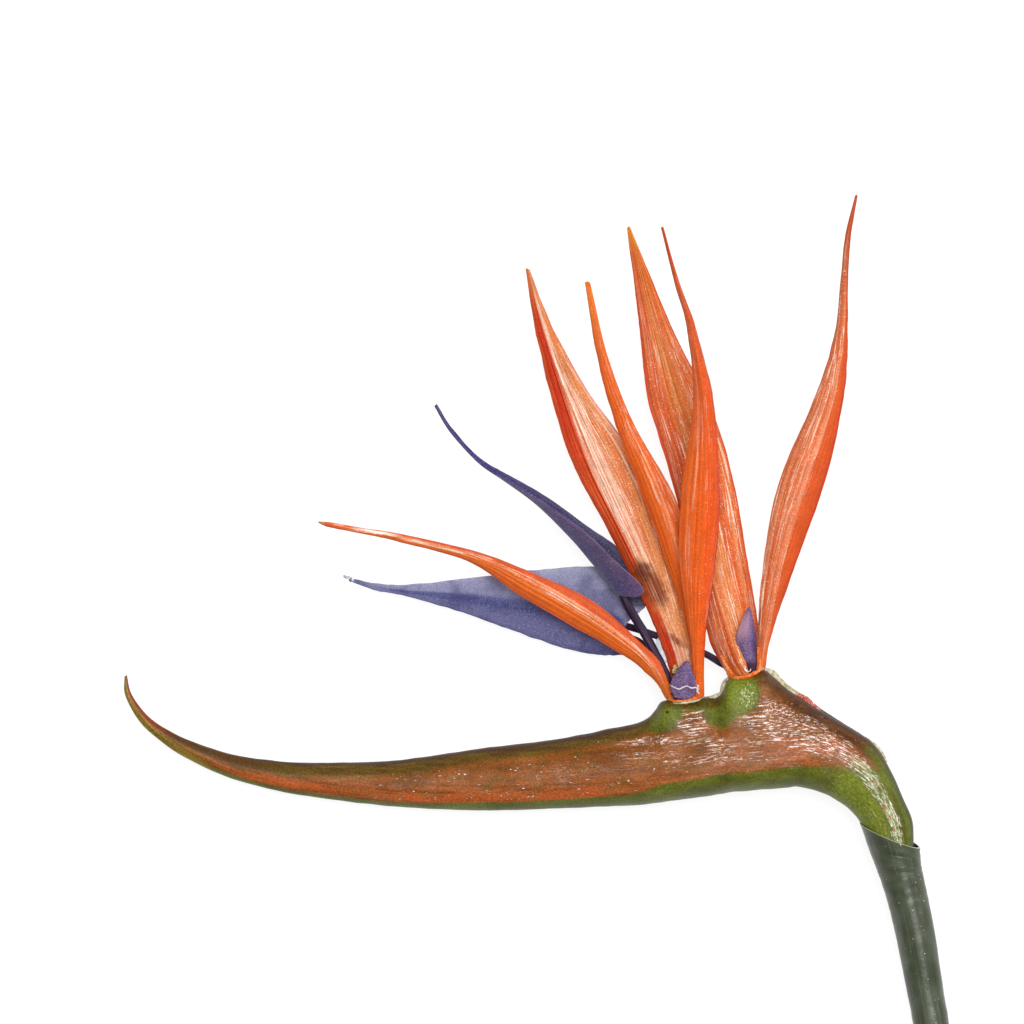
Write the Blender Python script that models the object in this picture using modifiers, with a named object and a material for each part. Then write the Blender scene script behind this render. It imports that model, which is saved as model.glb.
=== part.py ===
"""Artificial bird of paradise flower: a moulded beak-shaped spathe, two florets and a wired tube stem, lying down.

Every outline is given in millimetres on the flower's own flat sheet. There u runs along the spathe away
from its tip, v runs up towards the sepal tips, and `out` is the distance in front of the parting plane. The
sheet's zero is the middle of the front socket's rim. place() lays that sheet on the table, tipped a little
so that the spathe's belly, its beak and the cut end of the stem all come to rest.
"""

import math

import bmesh
import bpy
from mathutils import Vector

MM = 0.001
MERGE = 0.00005

# Where the front socket's rim lies in the part's frame, and how the parting plane slopes over the table.
CROWN_X = 28.9
CROWN_Y = 53.6
CROWN_HEIGHT = 10.61
RISE_ALONG_U = 0.0478
RISE_ALONG_V = 0.0416

GAP = 0.3
SEPAL_THICKNESS = 0.9
TONGUE_THICKNESS = 0.8

# The spathe: crest point, keel point, half depth and how much narrower the crest side is, from tip to neck.
SPATHE = [
    ((-156.6, 8.2), (-157.2, 8.0), 0.4, 0.0),
    ((-154.8, 1.6), (-156.5, 1.1), 0.8, 0.0),
    ((-150.6, -4.6), (-152.5, -6.1), 1.1, 0.0),
    ((-144.6, -8.9), (-146.4, -11.7), 1.6, 0.0),
    ((-127.6, -15.4), (-129.4, -21.4), 2.7, 0.05),
    ((-106.2, -17.7), (-106.7, -26.9), 3.9, 0.1),
    ((-81.9, -17.1), (-81.9, -30.0), 5.3, 0.15),
    ((-57.4, -13.7), (-57.0, -31.1), 6.6, 0.2),
    ((-35.6, -11.0), (-34.6, -30.5), 7.7, 0.22),
    ((-13.6, -6.9), (-12.2, -29.6), 8.9, 0.25),
    ((4.6, 0.4), (5.4, -27.1), 9.8, 0.22),
    ((16.0, 5.4), (16.8, -25.5), 10.2, 0.22),
    ((25.0, 7.4), (23.4, -24.9), 10.2, 0.22),
    ((34.7, 0.0), (31.1, -24.4), 9.5, 0.2),
    ((44.8, -7.0), (37.8, -25.8), 8.6, 0.12),
    ((52.9, -12.3), (42.8, -28.3), 7.9, 0.06),
    ((58.0, -20.4), (46.2, -30.8), 7.3, 0.0),
    ((61.0, -27.2), (48.2, -33.0), 6.8, 0.0),
    ((63.6, -33.2), (50.0, -36.0), 6.5, 0.0),
    ((64.1, -38.0), (52.2, -41.6), 5.9, 0.0),
    ((64.0, -43.0), (54.7, -46.0), 4.8, 0.0),
]
SPATHE_ROWS = 40
SPATHE_SIDES = 20

# Each socket: middle of the rim, lean of its axis to the left, rim radius, foot radius and foot depth.
SOCKETS = {
    "front": {"rim": (0.0, 0.4), "lean": 7.5, "radius": 5.6, "foot": 9.8, "height": 9.0},
    "rear": {"rim": (17.0, 7.2), "lean": 15.0, "radius": 5.3, "foot": 8.8, "height": 9.5},
}
SOCKET_BORE = 4.6
SOCKET_DEPTH = 6.0
SOCKET_CLEAR = 3.0
SOCKET_SIDES = 24
BORE_TAPER = 0.4
COLLAR_RADIUS = 5.0
COLLAR_HEIGHT = 1.6
COLLAR_ROUNDING = 0.5

# The stem tube: middle line, outer radius and bore radius, from the mouth down to the cut end.
STEM = [
    ((57.6, -38.6), 7.3, 6.9),
    ((58.7, -42.6), 6.7, 6.3),
    ((59.9, -46.6), 6.2, 5.6),
    ((61.0, -50.2), 5.95, 1.7),
    ((62.5, -56.0), 5.7, 1.7),
    ((64.6, -65.6), 5.5, 1.7),
    ((66.8, -78.1), 5.2, 1.7),
    ((69.2, -91.5), 4.95, 1.7),
    ((75.8, -128.0), 4.85, 1.7),
    ((82.6, -166.0), 4.8, 1.7),
    ((89.0, -206.0), 4.8, 1.7),
    ((94.6, -248.0), 4.8, 1.7),
]
STEM_SIDES = 16
MOUTH_SLANT = 0.84
MOUTH_ROWS = 3
WIRE_RADIUS = 1.3
WIRE_TOP_GAP = 1.0

# Sepals: (u, v, out) along one edge, along the fold and along the other edge, from the socket to the tip.
SEPALS = {
    "front_sepal_low": (
        [(-4.6, 6.0, 2.2), (-12.0, 15.7, 2.8), (-24.6, 27.0, 3.2), (-40.5, 34.6, 3.6),
         (-57.0, 41.2, 4.2), (-78.0, 46.2, 5.8), (-102.5, 49.8, 8.0)],
        [(-5.0, 3.6, 2.6), (-14.0, 15.0, 3.6), (-26.5, 25.0, 4.4), (-42.5, 34.2, 4.9),
         (-58.6, 40.4, 5.2), (-79.0, 45.6, 6.6), (-102.7, 49.3, 8.4)],
        [(-5.4, 0.9, 1.8), (-16.0, 11.8, 1.6), (-29.7, 19.8, 1.8), (-45.0, 28.5, 2.4),
         (-60.5, 38.3, 3.6), (-80.0, 44.2, 5.4), (-102.5, 48.6, 7.8)],
    ),
    "front_sepal_wide": (
        [(-3.8, 2.6, -1.8), (-4.9, 10.2, -1.8), (-9.6, 24.0, -1.9), (-20.2, 45.6, -1.6),
         (-30.5, 64.5, -0.4), (-39.0, 92.5, 2.0), (-44.3, 121.0, 4.6)],
        [(-1.4, 2.8, -1.0), (-2.2, 11.0, -0.6), (-7.2, 25.0, -0.2), (-15.7, 42.8, 0.4),
         (-25.2, 62.6, 1.6), (-36.8, 93.5, 3.6), (-43.7, 120.9, 5.0)],
        [(2.8, 3.0, -1.8), (3.0, 12.0, -1.8), (-1.0, 27.0, -1.8), (-5.6, 46.0, -1.6),
         (-13.0, 66.0, -0.2), (-30.5, 93.0, 2.2), (-42.8, 120.2, 4.6)],
    ),
    "front_sepal_narrow": (
        [(2.4, 2.9, 0.4), (1.4, 16.8, 0.8), (-6.4, 42.6, 3.6), (-12.9, 60.2, 6.2),
         (-18.8, 77.0, 8.4), (-23.8, 94.0, 10.8), (-27.9, 117.0, 14.2)],
        [(3.6, 3.0, 0.8), (3.2, 17.2, 1.8), (-1.2, 41.0, 5.2), (-6.6, 59.5, 8.0),
         (-15.2, 77.0, 10.0), (-21.8, 94.0, 12.0), (-27.3, 117.1, 14.6)],
        [(4.8, 3.2, 0.4), (4.8, 17.5, 0.8), (3.2, 38.0, 3.4), (-2.6, 57.0, 5.6),
         (-13.4, 76.0, 8.2), (-20.8, 93.5, 10.6), (-26.7, 116.7, 14.2)],
    ),
    "front_sepal_centre": (
        [(2.6, 2.9, 2.6), (1.4, 16.8, 4.6), (-1.5, 40.0, 8.8), (-0.6, 60.5, 12.8),
         (2.6, 84.0, 18.0), (0.2, 104.5, 23.2), (-6.7, 132.0, 31.0)],
        [(3.9, 3.0, 3.2), (4.0, 17.6, 6.2), (5.2, 39.0, 11.4), (6.2, 59.5, 15.8),
         (5.6, 83.5, 20.6), (1.6, 104.5, 24.6), (-6.1, 132.2, 31.4)],
        [(5.2, 3.2, 2.6), (5.9, 18.5, 4.4), (8.5, 38.0, 8.6), (9.8, 58.0, 12.6),
         (8.0, 82.5, 17.8), (2.8, 104.5, 23.0), (-5.5, 131.8, 31.0)],
    ),
    "rear_sepal_wide": (
        [(13.4, 8.4, -2.2), (6.4, 18.6, -3.0), (1.8, 40.0, -3.6), (-4.2, 64.5, -3.4),
         (-10.5, 86.0, -2.2), (-13.2, 108.0, 0.2), (-16.3, 130.4, 4.0)],
        [(16.2, 9.2, -1.4), (12.4, 20.4, -1.8), (6.4, 41.0, -2.0), (1.6, 64.5, -1.6),
         (-4.6, 86.5, -0.6), (-9.8, 108.0, 1.4), (-15.7, 130.9, 4.4)],
        [(18.8, 9.8, -2.2), (20.6, 21.0, -2.8), (17.6, 41.5, -3.4), (12.4, 64.5, -3.2),
         (5.4, 86.5, -2.0), (-5.2, 107.5, 0.2), (-15.1, 130.6, 4.0)],
    ),
    "rear_sepal_tall": (
        [(20.2, 10.6, -0.4), (20.6, 20.5, 0.6), (22.2, 38.5, 3.0), (27.6, 63.0, 6.4),
         (37.6, 86.5, 10.0), (43.2, 113.0, 13.6), (47.5, 141.2, 18.4)],
        [(21.5, 10.8, 0.2), (23.4, 20.5, 1.8), (27.0, 38.6, 4.8), (34.0, 62.4, 8.4),
         (41.8, 86.2, 11.6), (44.5, 113.0, 14.6), (48.0, 141.4, 18.8)],
        [(22.8, 11.0, -0.4), (25.2, 20.5, 0.4), (31.4, 38.8, 2.6), (39.6, 61.5, 6.0),
         (44.8, 85.5, 9.6), (45.4, 113.0, 13.4), (48.5, 141.0, 18.2)],
    ),
}
SEPAL_ROWS = 16

# Tongues: near edge, keel and far edge, from the stalk to the tip. The upper one is folded in half.
TONGUES = {
    "upper_tongue": (
        [(-16.6, 29.2, 0.0), (-12.2, 31.8, 2.6), (-17.4, 36.8, 4.0), (-27.6, 46.6, 4.6),
         (-39.6, 55.6, 4.6), (-49.9, 62.6, 4.6), (-57.2, 67.8, 5.2), (-65.0, 76.2, 6.4), (-69.5, 83.0, 7.8)],
        [(-17.8, 28.8, -1.2), (-19.9, 31.2, -1.0), (-23.4, 35.2, -0.4), (-31.6, 44.8, 0.8),
         (-41.2, 54.3, 2.2), (-50.4, 61.0, 3.4), (-58.0, 66.8, 4.6), (-65.8, 75.4, 6.0), (-70.1, 82.4, 7.5)],
        [(-15.6, 27.4, -2.6), (-9.0, 29.4, -4.2), (-12.6, 37.6, -4.0), (-26.6, 48.3, -1.8),
         (-38.4, 56.9, 0.4), (-49.2, 63.8, 2.4), (-56.8, 68.6, 4.2), (-64.6, 76.7, 5.8), (-69.3, 83.0, 7.3)],
    ),
    "lower_tongue": (
        [(-16.2, 22.4, -5.4), (-10.8, 26.8, -6.4), (-11.8, 31.8, -6.6), (-24.0, 37.0, -6.4),
         (-42.8, 36.2, -5.8), (-58.0, 34.6, -5.0), (-76.4, 32.6, -4.2), (-88.0, 33.2, -3.4), (-96.1, 34.8, -3.0)],
        [(-16.8, 20.2, -5.2), (-19.5, 21.8, -5.4), (-25.0, 23.0, -5.4), (-34.0, 24.4, -5.2),
         (-48.0, 26.2, -4.8), (-64.0, 28.6, -4.2), (-79.0, 30.4, -3.8), (-88.2, 32.0, -3.2), (-96.2, 34.2, -2.9)],
        [(-17.2, 17.8, -5.6), (-16.0, 13.4, -6.4), (-22.0, 12.6, -6.4), (-33.0, 14.6, -6.0),
         (-47.5, 19.2, -5.4), (-62.0, 24.2, -4.8), (-77.5, 28.6, -4.2), (-88.0, 30.8, -3.4), (-95.9, 33.5, -3.0)],
    ),
}
TONGUE_ROWS = 18

# Stalks: middle line from the tongue down to the socket, and radius.
STALKS = {
    "upper_tongue_stalk": ([(-16.6, 27.4, -0.2), (-11.5, 18.8, 0.0), (-7.2, 10.9, -0.2), (-5.0, 6.6, -0.1),
                            (-4.4, 2.4, 0.0)], 0.75),
    "lower_tongue_stalk": ([(-15.2, 20.4, -5.2), (-9.5, 18.5, -4.9), (-2.0, 15.6, -4.8), (5.6, 12.9, -4.9),
                            (10.4, 10.1, -5.0), (13.6, 8.8, -5.0)], 0.85),
    "lower_tongue_side_stalk": ([(-15.6, 17.8, -4.2), (-12.2, 16.2, -3.4), (-9.0, 12.4, -2.6), (-6.2, 7.4, -2.4),
                                 (-5.2, 2.6, -2.5)], 0.55),
}
STALK_POINTS = 12

# Nectaries: middle, half width and half depth, from foot to tip. Each is a small pointed shield.
NECTARIES = {
    "front_nectary": [((-0.4, 0.7, 6.0), 2.3, 0.5), ((-0.5, 3.2, 6.1), 3.5, 0.8), ((-0.4, 5.6, 5.9), 3.4, 0.9),
                      ((-0.1, 8.4, 5.5), 2.0, 0.8), ((0.5, 11.1, 5.0), 0.4, 0.3)],
    "rear_nectary": [((18.6, 9.8, 2.2), 1.5, 0.8), ((17.9, 12.6, 2.5), 2.6, 1.2), ((17.4, 17.4, 2.8), 2.7, 1.2),
                     ((17.6, 21.8, 3.0), 1.7, 0.9), ((18.1, 25.9, 3.2), 0.4, 0.3)],
}
NECTARY_ROWS = 10
NECTARY_SIDES = 12

COLOURS = {
    "spathe_paint": ((0.30, 0.10, 0.035), 0.45),
    "sepal_orange": ((0.85, 0.16, 0.03), 0.5),
    "tongue_violet": ((0.10, 0.08, 0.22), 0.8),
    "stalk_dark": ((0.02, 0.012, 0.03), 0.5),
    "nectary_violet": ((0.13, 0.08, 0.24), 0.6),
    "stem_green": ((0.06, 0.09, 0.075), 0.4),
    "wire_steel": ((0.45, 0.44, 0.42), 0.35),
}


def clear_scene():
    for item in list(bpy.data.objects):
        bpy.data.objects.remove(item, do_unlink=True)


def make_collection(name):
    collection = bpy.data.collections.new(name)
    bpy.context.scene.collection.children.link(collection)
    return collection


def make_materials():
    made = {}
    for name, (colour, roughness) in COLOURS.items():
        material = bpy.data.materials.new(name)
        material.use_nodes = True
        shader = material.node_tree.nodes["Principled BSDF"]
        shader.inputs["Base Color"].default_value = (*colour, 1.0)
        shader.inputs["Roughness"].default_value = roughness
        shader.inputs["Metallic"].default_value = 1.0 if name == "wire_steel" else 0.0
        made[name] = material
    return made


def place(u, v, out):
    """A point of the flower's sheet, in metres in the part's frame."""
    height = CROWN_HEIGHT + RISE_ALONG_U * u + RISE_ALONG_V * v + out
    return Vector((CROWN_X + u, CROWN_Y + v, height)) * MM


def spline(values, count):
    """count values on a smooth line through the given ones, which may be numbers or vectors."""
    last = len(values) - 1
    found = []
    for step in range(count):
        along = step * last / (count - 1)
        index = min(int(along), last - 1)
        t = along - index
        a, b = values[index], values[index + 1]
        before = values[index - 1] if index > 0 else a + (a - b)
        after = values[index + 2] if index + 2 <= last else b + (b - a)
        found.append(
            0.5 * ((b - before) * t + 2 * a + (2 * before - 5 * a + 4 * b - after) * t * t
                   + (3 * a - before - 3 * b + after) * t * t * t)
        )
    return found


def add_object(name, mesh, collection, material):
    item = bpy.data.objects.new(name, mesh)
    mesh.materials.append(material)
    collection.objects.link(item)
    return item


def mesh_from(name, shape):
    bmesh.ops.recalc_face_normals(shape, faces=shape.faces)
    mesh = bpy.data.meshes.new(name)
    shape.to_mesh(mesh)
    shape.free()
    mesh.shade_smooth()
    mesh.set_sharp_from_angle(angle=math.radians(40))
    return mesh


def bridge_rings(shape, rings, joined):
    """Skins a list of rings of vertices. joined runs the last ring back to the first."""
    sides = len(rings[0])
    pairs = list(zip(rings, rings[1:] + rings[:1])) if joined else list(zip(rings, rings[1:]))
    for ring, following in pairs:
        for i in range(sides):
            k = (i + 1) % sides
            shape.faces.new((ring[i], ring[k], following[k], following[i]))


def lofted(name, rings, collection, material):
    """A closed solid skinned over rings of points, with a flat face at each end."""
    shape = bmesh.new()
    made = [[shape.verts.new(point) for point in ring] for ring in rings]
    bridge_rings(shape, made, joined=False)
    shape.faces.new(made[0])
    shape.faces.new(made[-1])
    return add_object(name, mesh_from(name, shape), collection, material)


def spathe_rings():
    crest = spline([Vector(row[0]) for row in SPATHE], SPATHE_ROWS)
    keel = spline([Vector(row[1]) for row in SPATHE], SPATHE_ROWS)
    depth = spline([row[2] for row in SPATHE], SPATHE_ROWS)
    narrow = spline([row[3] for row in SPATHE], SPATHE_ROWS)
    rings = []
    for top, bottom, half_depth, egg in zip(crest, keel, depth, narrow):
        ring = []
        for side in range(SPATHE_SIDES):
            angle = math.tau * side / SPATHE_SIDES
            spot = (top + bottom) / 2 + (top - bottom) / 2 * math.cos(angle)
            out = half_depth * math.sin(angle) * (1 - egg * math.cos(angle))
            ring.append(place(spot.x, spot.y, out))
        rings.append(ring)
    return rings


def socket_axis(socket):
    lean = math.radians(socket["lean"])
    return Vector((-math.sin(lean), math.cos(lean)))


def stand_on_socket(item, socket, above):
    """Turns an object's +Z along a socket's axis and puts its origin that far above the rim."""
    rim = Vector(socket["rim"])
    spot = place(*(rim + socket_axis(socket) * above), 0.0)
    beyond = place(*(rim + socket_axis(socket) * (above + 1.0)), 0.0)
    item.rotation_euler = (beyond - spot).to_track_quat("Z", "Y").to_euler()
    item.location = spot


def socket_cone(name, socket, start, end, radius_start, radius_end, collection, material):
    """A cone on a socket's axis, from start to end in millimetres above the socket's rim."""
    shape = bmesh.new()
    bmesh.ops.create_cone(
        shape, cap_ends=True, segments=SOCKET_SIDES, radius1=radius_start * MM, radius2=radius_end * MM,
        depth=(end - start) * MM,
    )
    item = add_object(name, mesh_from(name, shape), collection, material)
    stand_on_socket(item, socket, (start + end) / 2)
    return item


def add_boolean(item, cutter, operation):
    modifier = item.modifiers.new(f"{operation.lower()}_{cutter.name}", "BOOLEAN")
    modifier.operation = operation
    modifier.object = cutter
    modifier.solver = "EXACT"
    cutter.hide_render = True
    cutter.display_type = "WIRE"


def make_spathe(parts, cutters, materials):
    paint = materials["spathe_paint"]
    spathe = lofted("spathe", spathe_rings(), parts, paint)
    for side, socket in SOCKETS.items():
        boss = socket_cone(
            f"{side}_boss", socket, -socket["height"], 0.0, socket["foot"], socket["radius"], cutters, paint
        )
        add_boolean(spathe, boss, "UNION")
    for side, socket in SOCKETS.items():
        bore = socket_cone(
            f"{side}_bore", socket, -SOCKET_DEPTH, SOCKET_CLEAR, SOCKET_BORE - BORE_TAPER, SOCKET_BORE,
            cutters, paint,
        )
        add_boolean(spathe, bore, "DIFFERENCE")


def make_floret_bases(parts, materials):
    """Each base is a turned plug in its socket, with a collar on the rim that the sepals stand on."""
    plug_top = SOCKET_BORE - BORE_TAPER * SOCKET_CLEAR / (SOCKET_DEPTH + SOCKET_CLEAR) - GAP
    profile = [
        (0.0, COLLAR_HEIGHT),
        (COLLAR_RADIUS - COLLAR_ROUNDING, COLLAR_HEIGHT),
        (COLLAR_RADIUS, COLLAR_HEIGHT - COLLAR_ROUNDING),
        (COLLAR_RADIUS, GAP),
        (plug_top, GAP),
        (SOCKET_BORE - BORE_TAPER - GAP, GAP - SOCKET_DEPTH),
        (0.0, GAP - SOCKET_DEPTH),
    ]
    for side, socket in SOCKETS.items():
        shape = bmesh.new()
        spots = [shape.verts.new((radius * MM, 0.0, height * MM)) for radius, height in profile]
        for spot, following in zip(spots, spots[1:]):
            shape.edges.new((spot, following))
        name = f"{side}_floret_base"
        mesh = bpy.data.meshes.new(name)
        shape.to_mesh(mesh)
        shape.free()
        item = add_object(name, mesh, parts, materials["sepal_orange"])
        turn = item.modifiers.new("turn", "SCREW")
        turn.steps = SOCKET_SIDES
        turn.render_steps = SOCKET_SIDES
        turn.use_merge_vertices = True
        turn.merge_threshold = MERGE
        stand_on_socket(item, socket, 0.0)


def sheet(name, near, fold, far, rows, thickness, crown, collection, material):
    """A folded sheet: two flanks from the fold to its edges, each one crowned outwards a little."""
    lines = [spline([Vector(spot) for spot in line], rows) for line in (near, fold, far)]
    shape = bmesh.new()
    grid = []
    for a, middle, b in zip(*lines):
        lift_a = Vector((0, 0, crown * (a - middle).length))
        lift_b = Vector((0, 0, crown * (b - middle).length))
        row = [a, (a + middle) / 2 + lift_a, middle, (b + middle) / 2 + lift_b, b]
        grid.append([shape.verts.new(place(*spot)) for spot in row])
    for row, following in zip(grid, grid[1:]):
        for i in range(4):
            shape.faces.new((row[i], row[i + 1], following[i + 1], following[i]))
    item = add_object(name, mesh_from(name, shape), collection, material)
    wall = item.modifiers.new("wall", "SOLIDIFY")
    wall.thickness = thickness * MM
    wall.offset = 0.0
    return item


def make_sepals(parts, materials):
    for name, lines in SEPALS.items():
        sheet(name, *lines, SEPAL_ROWS, SEPAL_THICKNESS, 0.06, parts, materials["sepal_orange"])


def make_tongues(parts, materials):
    for name, lines in TONGUES.items():
        sheet(name, *lines, TONGUE_ROWS, TONGUE_THICKNESS, 0.0, parts, materials["tongue_violet"])


def wire(name, points, radius, collection, material):
    """A round wire through the points, with closed ends."""
    data = bpy.data.curves.new(name, "CURVE")
    data.dimensions = "3D"
    data.bevel_depth = radius * MM
    data.bevel_resolution = 2
    data.use_fill_caps = True
    line = data.splines.new("POLY")
    line.points.add(len(points) - 1)
    for point, spot in zip(line.points, points):
        point.co = (*spot, 1.0)
    item = bpy.data.objects.new(name, data)
    data.materials.append(material)
    collection.objects.link(item)
    return item


def make_stalks(parts, materials):
    for name, (points, radius) in STALKS.items():
        line = [place(*spot) for spot in spline([Vector(point) for point in points], STALK_POINTS)]
        wire(name, line, radius, parts, materials["stalk_dark"])


def make_nectaries(parts, materials):
    for name, rows in NECTARIES.items():
        middles = spline([Vector(row[0]) for row in rows], NECTARY_ROWS)
        widths = spline([row[1] for row in rows], NECTARY_ROWS)
        depths = spline([row[2] for row in rows], NECTARY_ROWS)
        rings = []
        for middle, width, depth in zip(middles, widths, depths):
            turns = [math.tau * side / NECTARY_SIDES for side in range(NECTARY_SIDES)]
            rings.append([
                place(*(middle + Vector((width * math.cos(turn), 0, depth * math.sin(turn))))) for turn in turns
            ])
        lofted(name, rings, parts, materials["nectary_violet"])


def stem_ring(middle, along, radius, slant):
    """A ring round the stem. slant leans it, so that the mouth is cut at an angle."""
    side = Vector((-along.y, along.x))
    ring = []
    for step in range(STEM_SIDES):
        turn = math.tau * step / STEM_SIDES
        spot = middle + side * radius * math.cos(turn) + along * slant * radius * math.cos(turn)
        ring.append(place(spot.x, spot.y, radius * math.sin(turn)))
    return ring


def make_stem(parts, materials):
    """The tube is a wall between an outer skin and a bore, which opens into a socket round the neck."""
    outer, inner = [], []
    for index, (middle, radius, bore) in enumerate(STEM):
        before = Vector(STEM[max(index - 1, 0)][0])
        after = Vector(STEM[min(index + 1, len(STEM) - 1)][0])
        along = (after - before).normalized()
        slant = MOUTH_SLANT * max(0.0, 1 - index / MOUTH_ROWS)
        outer.append(stem_ring(Vector(middle), along, radius, slant))
        inner.append(stem_ring(Vector(middle), along, bore, slant))
    shape = bmesh.new()
    rings = [[shape.verts.new(point) for point in ring] for ring in outer + inner[::-1]]
    bridge_rings(shape, rings, joined=True)
    add_object("stem", mesh_from("stem", shape), parts, materials["stem_green"])

    top = next(index for index, row in enumerate(STEM) if row[2] == STEM[-1][2])
    middles = [Vector(row[0]) for row in STEM[top:]]
    middles[0] += (middles[1] - middles[0]).normalized() * WIRE_TOP_GAP
    line = [place(spot.x, spot.y, 0.0) for spot in middles]
    wire("stem_wire", line, WIRE_RADIUS, parts, materials["wire_steel"])


def main():
    clear_scene()
    parts = make_collection("bird_of_paradise_flower")
    cutters = make_collection("cutters")
    materials = make_materials()
    make_spathe(parts, cutters, materials)
    make_floret_bases(parts, materials)
    make_sepals(parts, materials)
    make_tongues(parts, materials)
    make_stalks(parts, materials)
    make_nectaries(parts, materials)
    make_stem(parts, materials)


main()
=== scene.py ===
import math

import bpy
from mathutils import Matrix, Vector, noise


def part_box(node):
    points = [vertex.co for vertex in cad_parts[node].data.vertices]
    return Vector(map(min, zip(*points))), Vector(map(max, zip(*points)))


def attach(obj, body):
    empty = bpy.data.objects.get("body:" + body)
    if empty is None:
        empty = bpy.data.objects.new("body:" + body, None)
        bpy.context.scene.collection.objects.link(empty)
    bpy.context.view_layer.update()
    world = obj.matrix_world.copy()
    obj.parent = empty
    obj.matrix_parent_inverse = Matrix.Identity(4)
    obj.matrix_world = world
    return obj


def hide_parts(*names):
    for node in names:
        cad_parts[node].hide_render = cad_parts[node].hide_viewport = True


mm = 0.001
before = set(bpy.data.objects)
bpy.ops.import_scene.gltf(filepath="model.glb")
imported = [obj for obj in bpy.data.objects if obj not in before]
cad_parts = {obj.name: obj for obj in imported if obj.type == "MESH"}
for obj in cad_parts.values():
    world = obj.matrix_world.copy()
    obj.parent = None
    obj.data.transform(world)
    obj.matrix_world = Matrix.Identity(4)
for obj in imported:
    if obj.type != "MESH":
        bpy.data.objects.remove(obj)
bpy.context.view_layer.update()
print("frame loaded:", len(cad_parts), "nodes")

# The flower's own flat sheet: u runs along the spathe away from its tip, v runs up towards the sepal tips,
# and out is the distance in front of the parting plane. All three are in millimetres from the front rim.
sheetLie = {
    "tipToCrown": 157.2,
    "neckToCrown": 46.0,
    "crownHeight": 10.61,
    "riseAlongU": 0.0478,
    "riseAlongV": 0.0416,
}
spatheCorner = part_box("spathe")[0] / mm
crownX = spatheCorner.x + sheetLie["tipToCrown"]
crownY = spatheCorner.y + sheetLie["neckToCrown"]


def place(u, v, out=0.0):
    height = sheetLie["crownHeight"] + sheetLie["riseAlongU"] * u + sheetLie["riseAlongV"] * v + out
    return Vector((crownX + u, crownY + v, height)) * mm


def lineAt(points, s):  # a smooth line through the points, s from 0 to 1
    last = len(points) - 1
    index = min(int(s * last), last - 1)
    t = s * last - index
    a, b = points[index], points[index + 1]
    before = points[index - 1] if index > 0 else a + (a - b)
    after = points[index + 2] if index + 2 <= last else b + (b - a)
    slope = (b - before) * t + 2 * a
    bend = (2 * before - 5 * a + 4 * b - after) * t * t
    return 0.5 * (slope + bend + (3 * a - before - 3 * b + after) * t**3)


def headingAt(points, s, step=0.01):
    return (lineAt(points, min(s + step, 1.0)) - lineAt(points, max(s - step, 0.0))).normalized()


def vectors(rows):
    return [Vector(row) for row in rows]


def column(rows, index):
    return [row[index] for row in rows]


def ease(value, low, high):  # 0 below low, 1 above high, smooth between; low may be the larger
    t = min(max((value - low) / (high - low), 0.0), 1.0)
    return t * t * (3 - 2 * t)


def wander(a, b=0.0, c=0.0):  # a smooth random number from -1 to 1
    return noise.noise(Vector((a, b, c)))


def powered(value, power):  # a power that keeps the value's sign
    return math.copysign(abs(value) ** power, value)


def closing(s, sharp):  # rounds a tube down to nothing at both its ends
    start = math.sin(math.pi * min(max(s * sharp, 0.0), 0.5))
    return start * math.sin(math.pi * min((1 - s) * sharp, 0.5))


# how finely a mesh is merged, and the angles that stay sharp on a grid and on a walled sheet
meshing = {"merge": 0.002, "sharp": 50, "wallSharp": 60}


def deselectAll():
    if bpy.context.object and bpy.context.object.mode != "OBJECT":
        bpy.ops.object.mode_set(mode="OBJECT")
    bpy.ops.object.select_all(action="DESELECT")


def gridPiece(name, build, pointAt, wraps=True, marks=None):
    # a grid laid over a surface: pointAt(s, t) gives millimetres, with s along the piece and t round it
    deselectAll()
    bpy.ops.mesh.primitive_grid_add(
        x_subdivisions=build["rows"], y_subdivisions=build["sides"], size=1.0, calc_uvs=True
    )
    piece = bpy.context.object
    piece.name = piece.data.name = name
    lie = [(vertex.co.x + 0.5, vertex.co.y + 0.5) for vertex in piece.data.vertices]
    for vertex, (s, t) in zip(piece.data.vertices, lie):
        vertex.co = place(*pointAt(s, t))
    for mark, valueAt in (marks or {}).items():
        kept = piece.data.attributes.new(mark, "FLOAT_VECTOR", "POINT")
        for index, (s, t) in enumerate(lie):
            kept.data[index].vector = valueAt(s, t)
    bpy.ops.object.mode_set(mode="EDIT")
    bpy.ops.mesh.select_all(action="SELECT")
    bpy.ops.mesh.remove_doubles(threshold=meshing["merge"] * mm)
    if wraps:
        bpy.ops.mesh.select_all(action="DESELECT")
        bpy.ops.mesh.select_non_manifold()
        bpy.ops.mesh.fill_holes(sides=0)
        bpy.ops.mesh.select_all(action="SELECT")
        bpy.ops.mesh.normals_make_consistent(inside=False)
    bpy.ops.object.mode_set(mode="OBJECT")
    bpy.ops.object.shade_smooth_by_angle(angle=math.radians(meshing["sharp"]))
    return piece


def thicken(piece, thickness, thinnest=1.0):
    # a wall both sides of a sheet, thinner where the "wall" weights are low
    wall = piece.modifiers.new("wall", "SOLIDIFY")
    wall.thickness = thickness * mm
    wall.offset = 0.0
    wall.use_even_offset = False
    if "wall" in piece.vertex_groups:
        wall.vertex_group = "wall"
        wall.thickness_vertex_group = thinnest
    deselectAll()
    piece.select_set(True)
    bpy.context.view_layer.objects.active = piece
    bpy.ops.object.modifier_apply(modifier="wall")
    bpy.ops.object.mode_set(mode="EDIT")
    bpy.ops.mesh.select_all(action="SELECT")
    bpy.ops.mesh.normals_make_consistent(inside=False)
    bpy.ops.object.mode_set(mode="OBJECT")
    bpy.ops.object.shade_smooth_by_angle(angle=math.radians(meshing["wallSharp"]))


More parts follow.
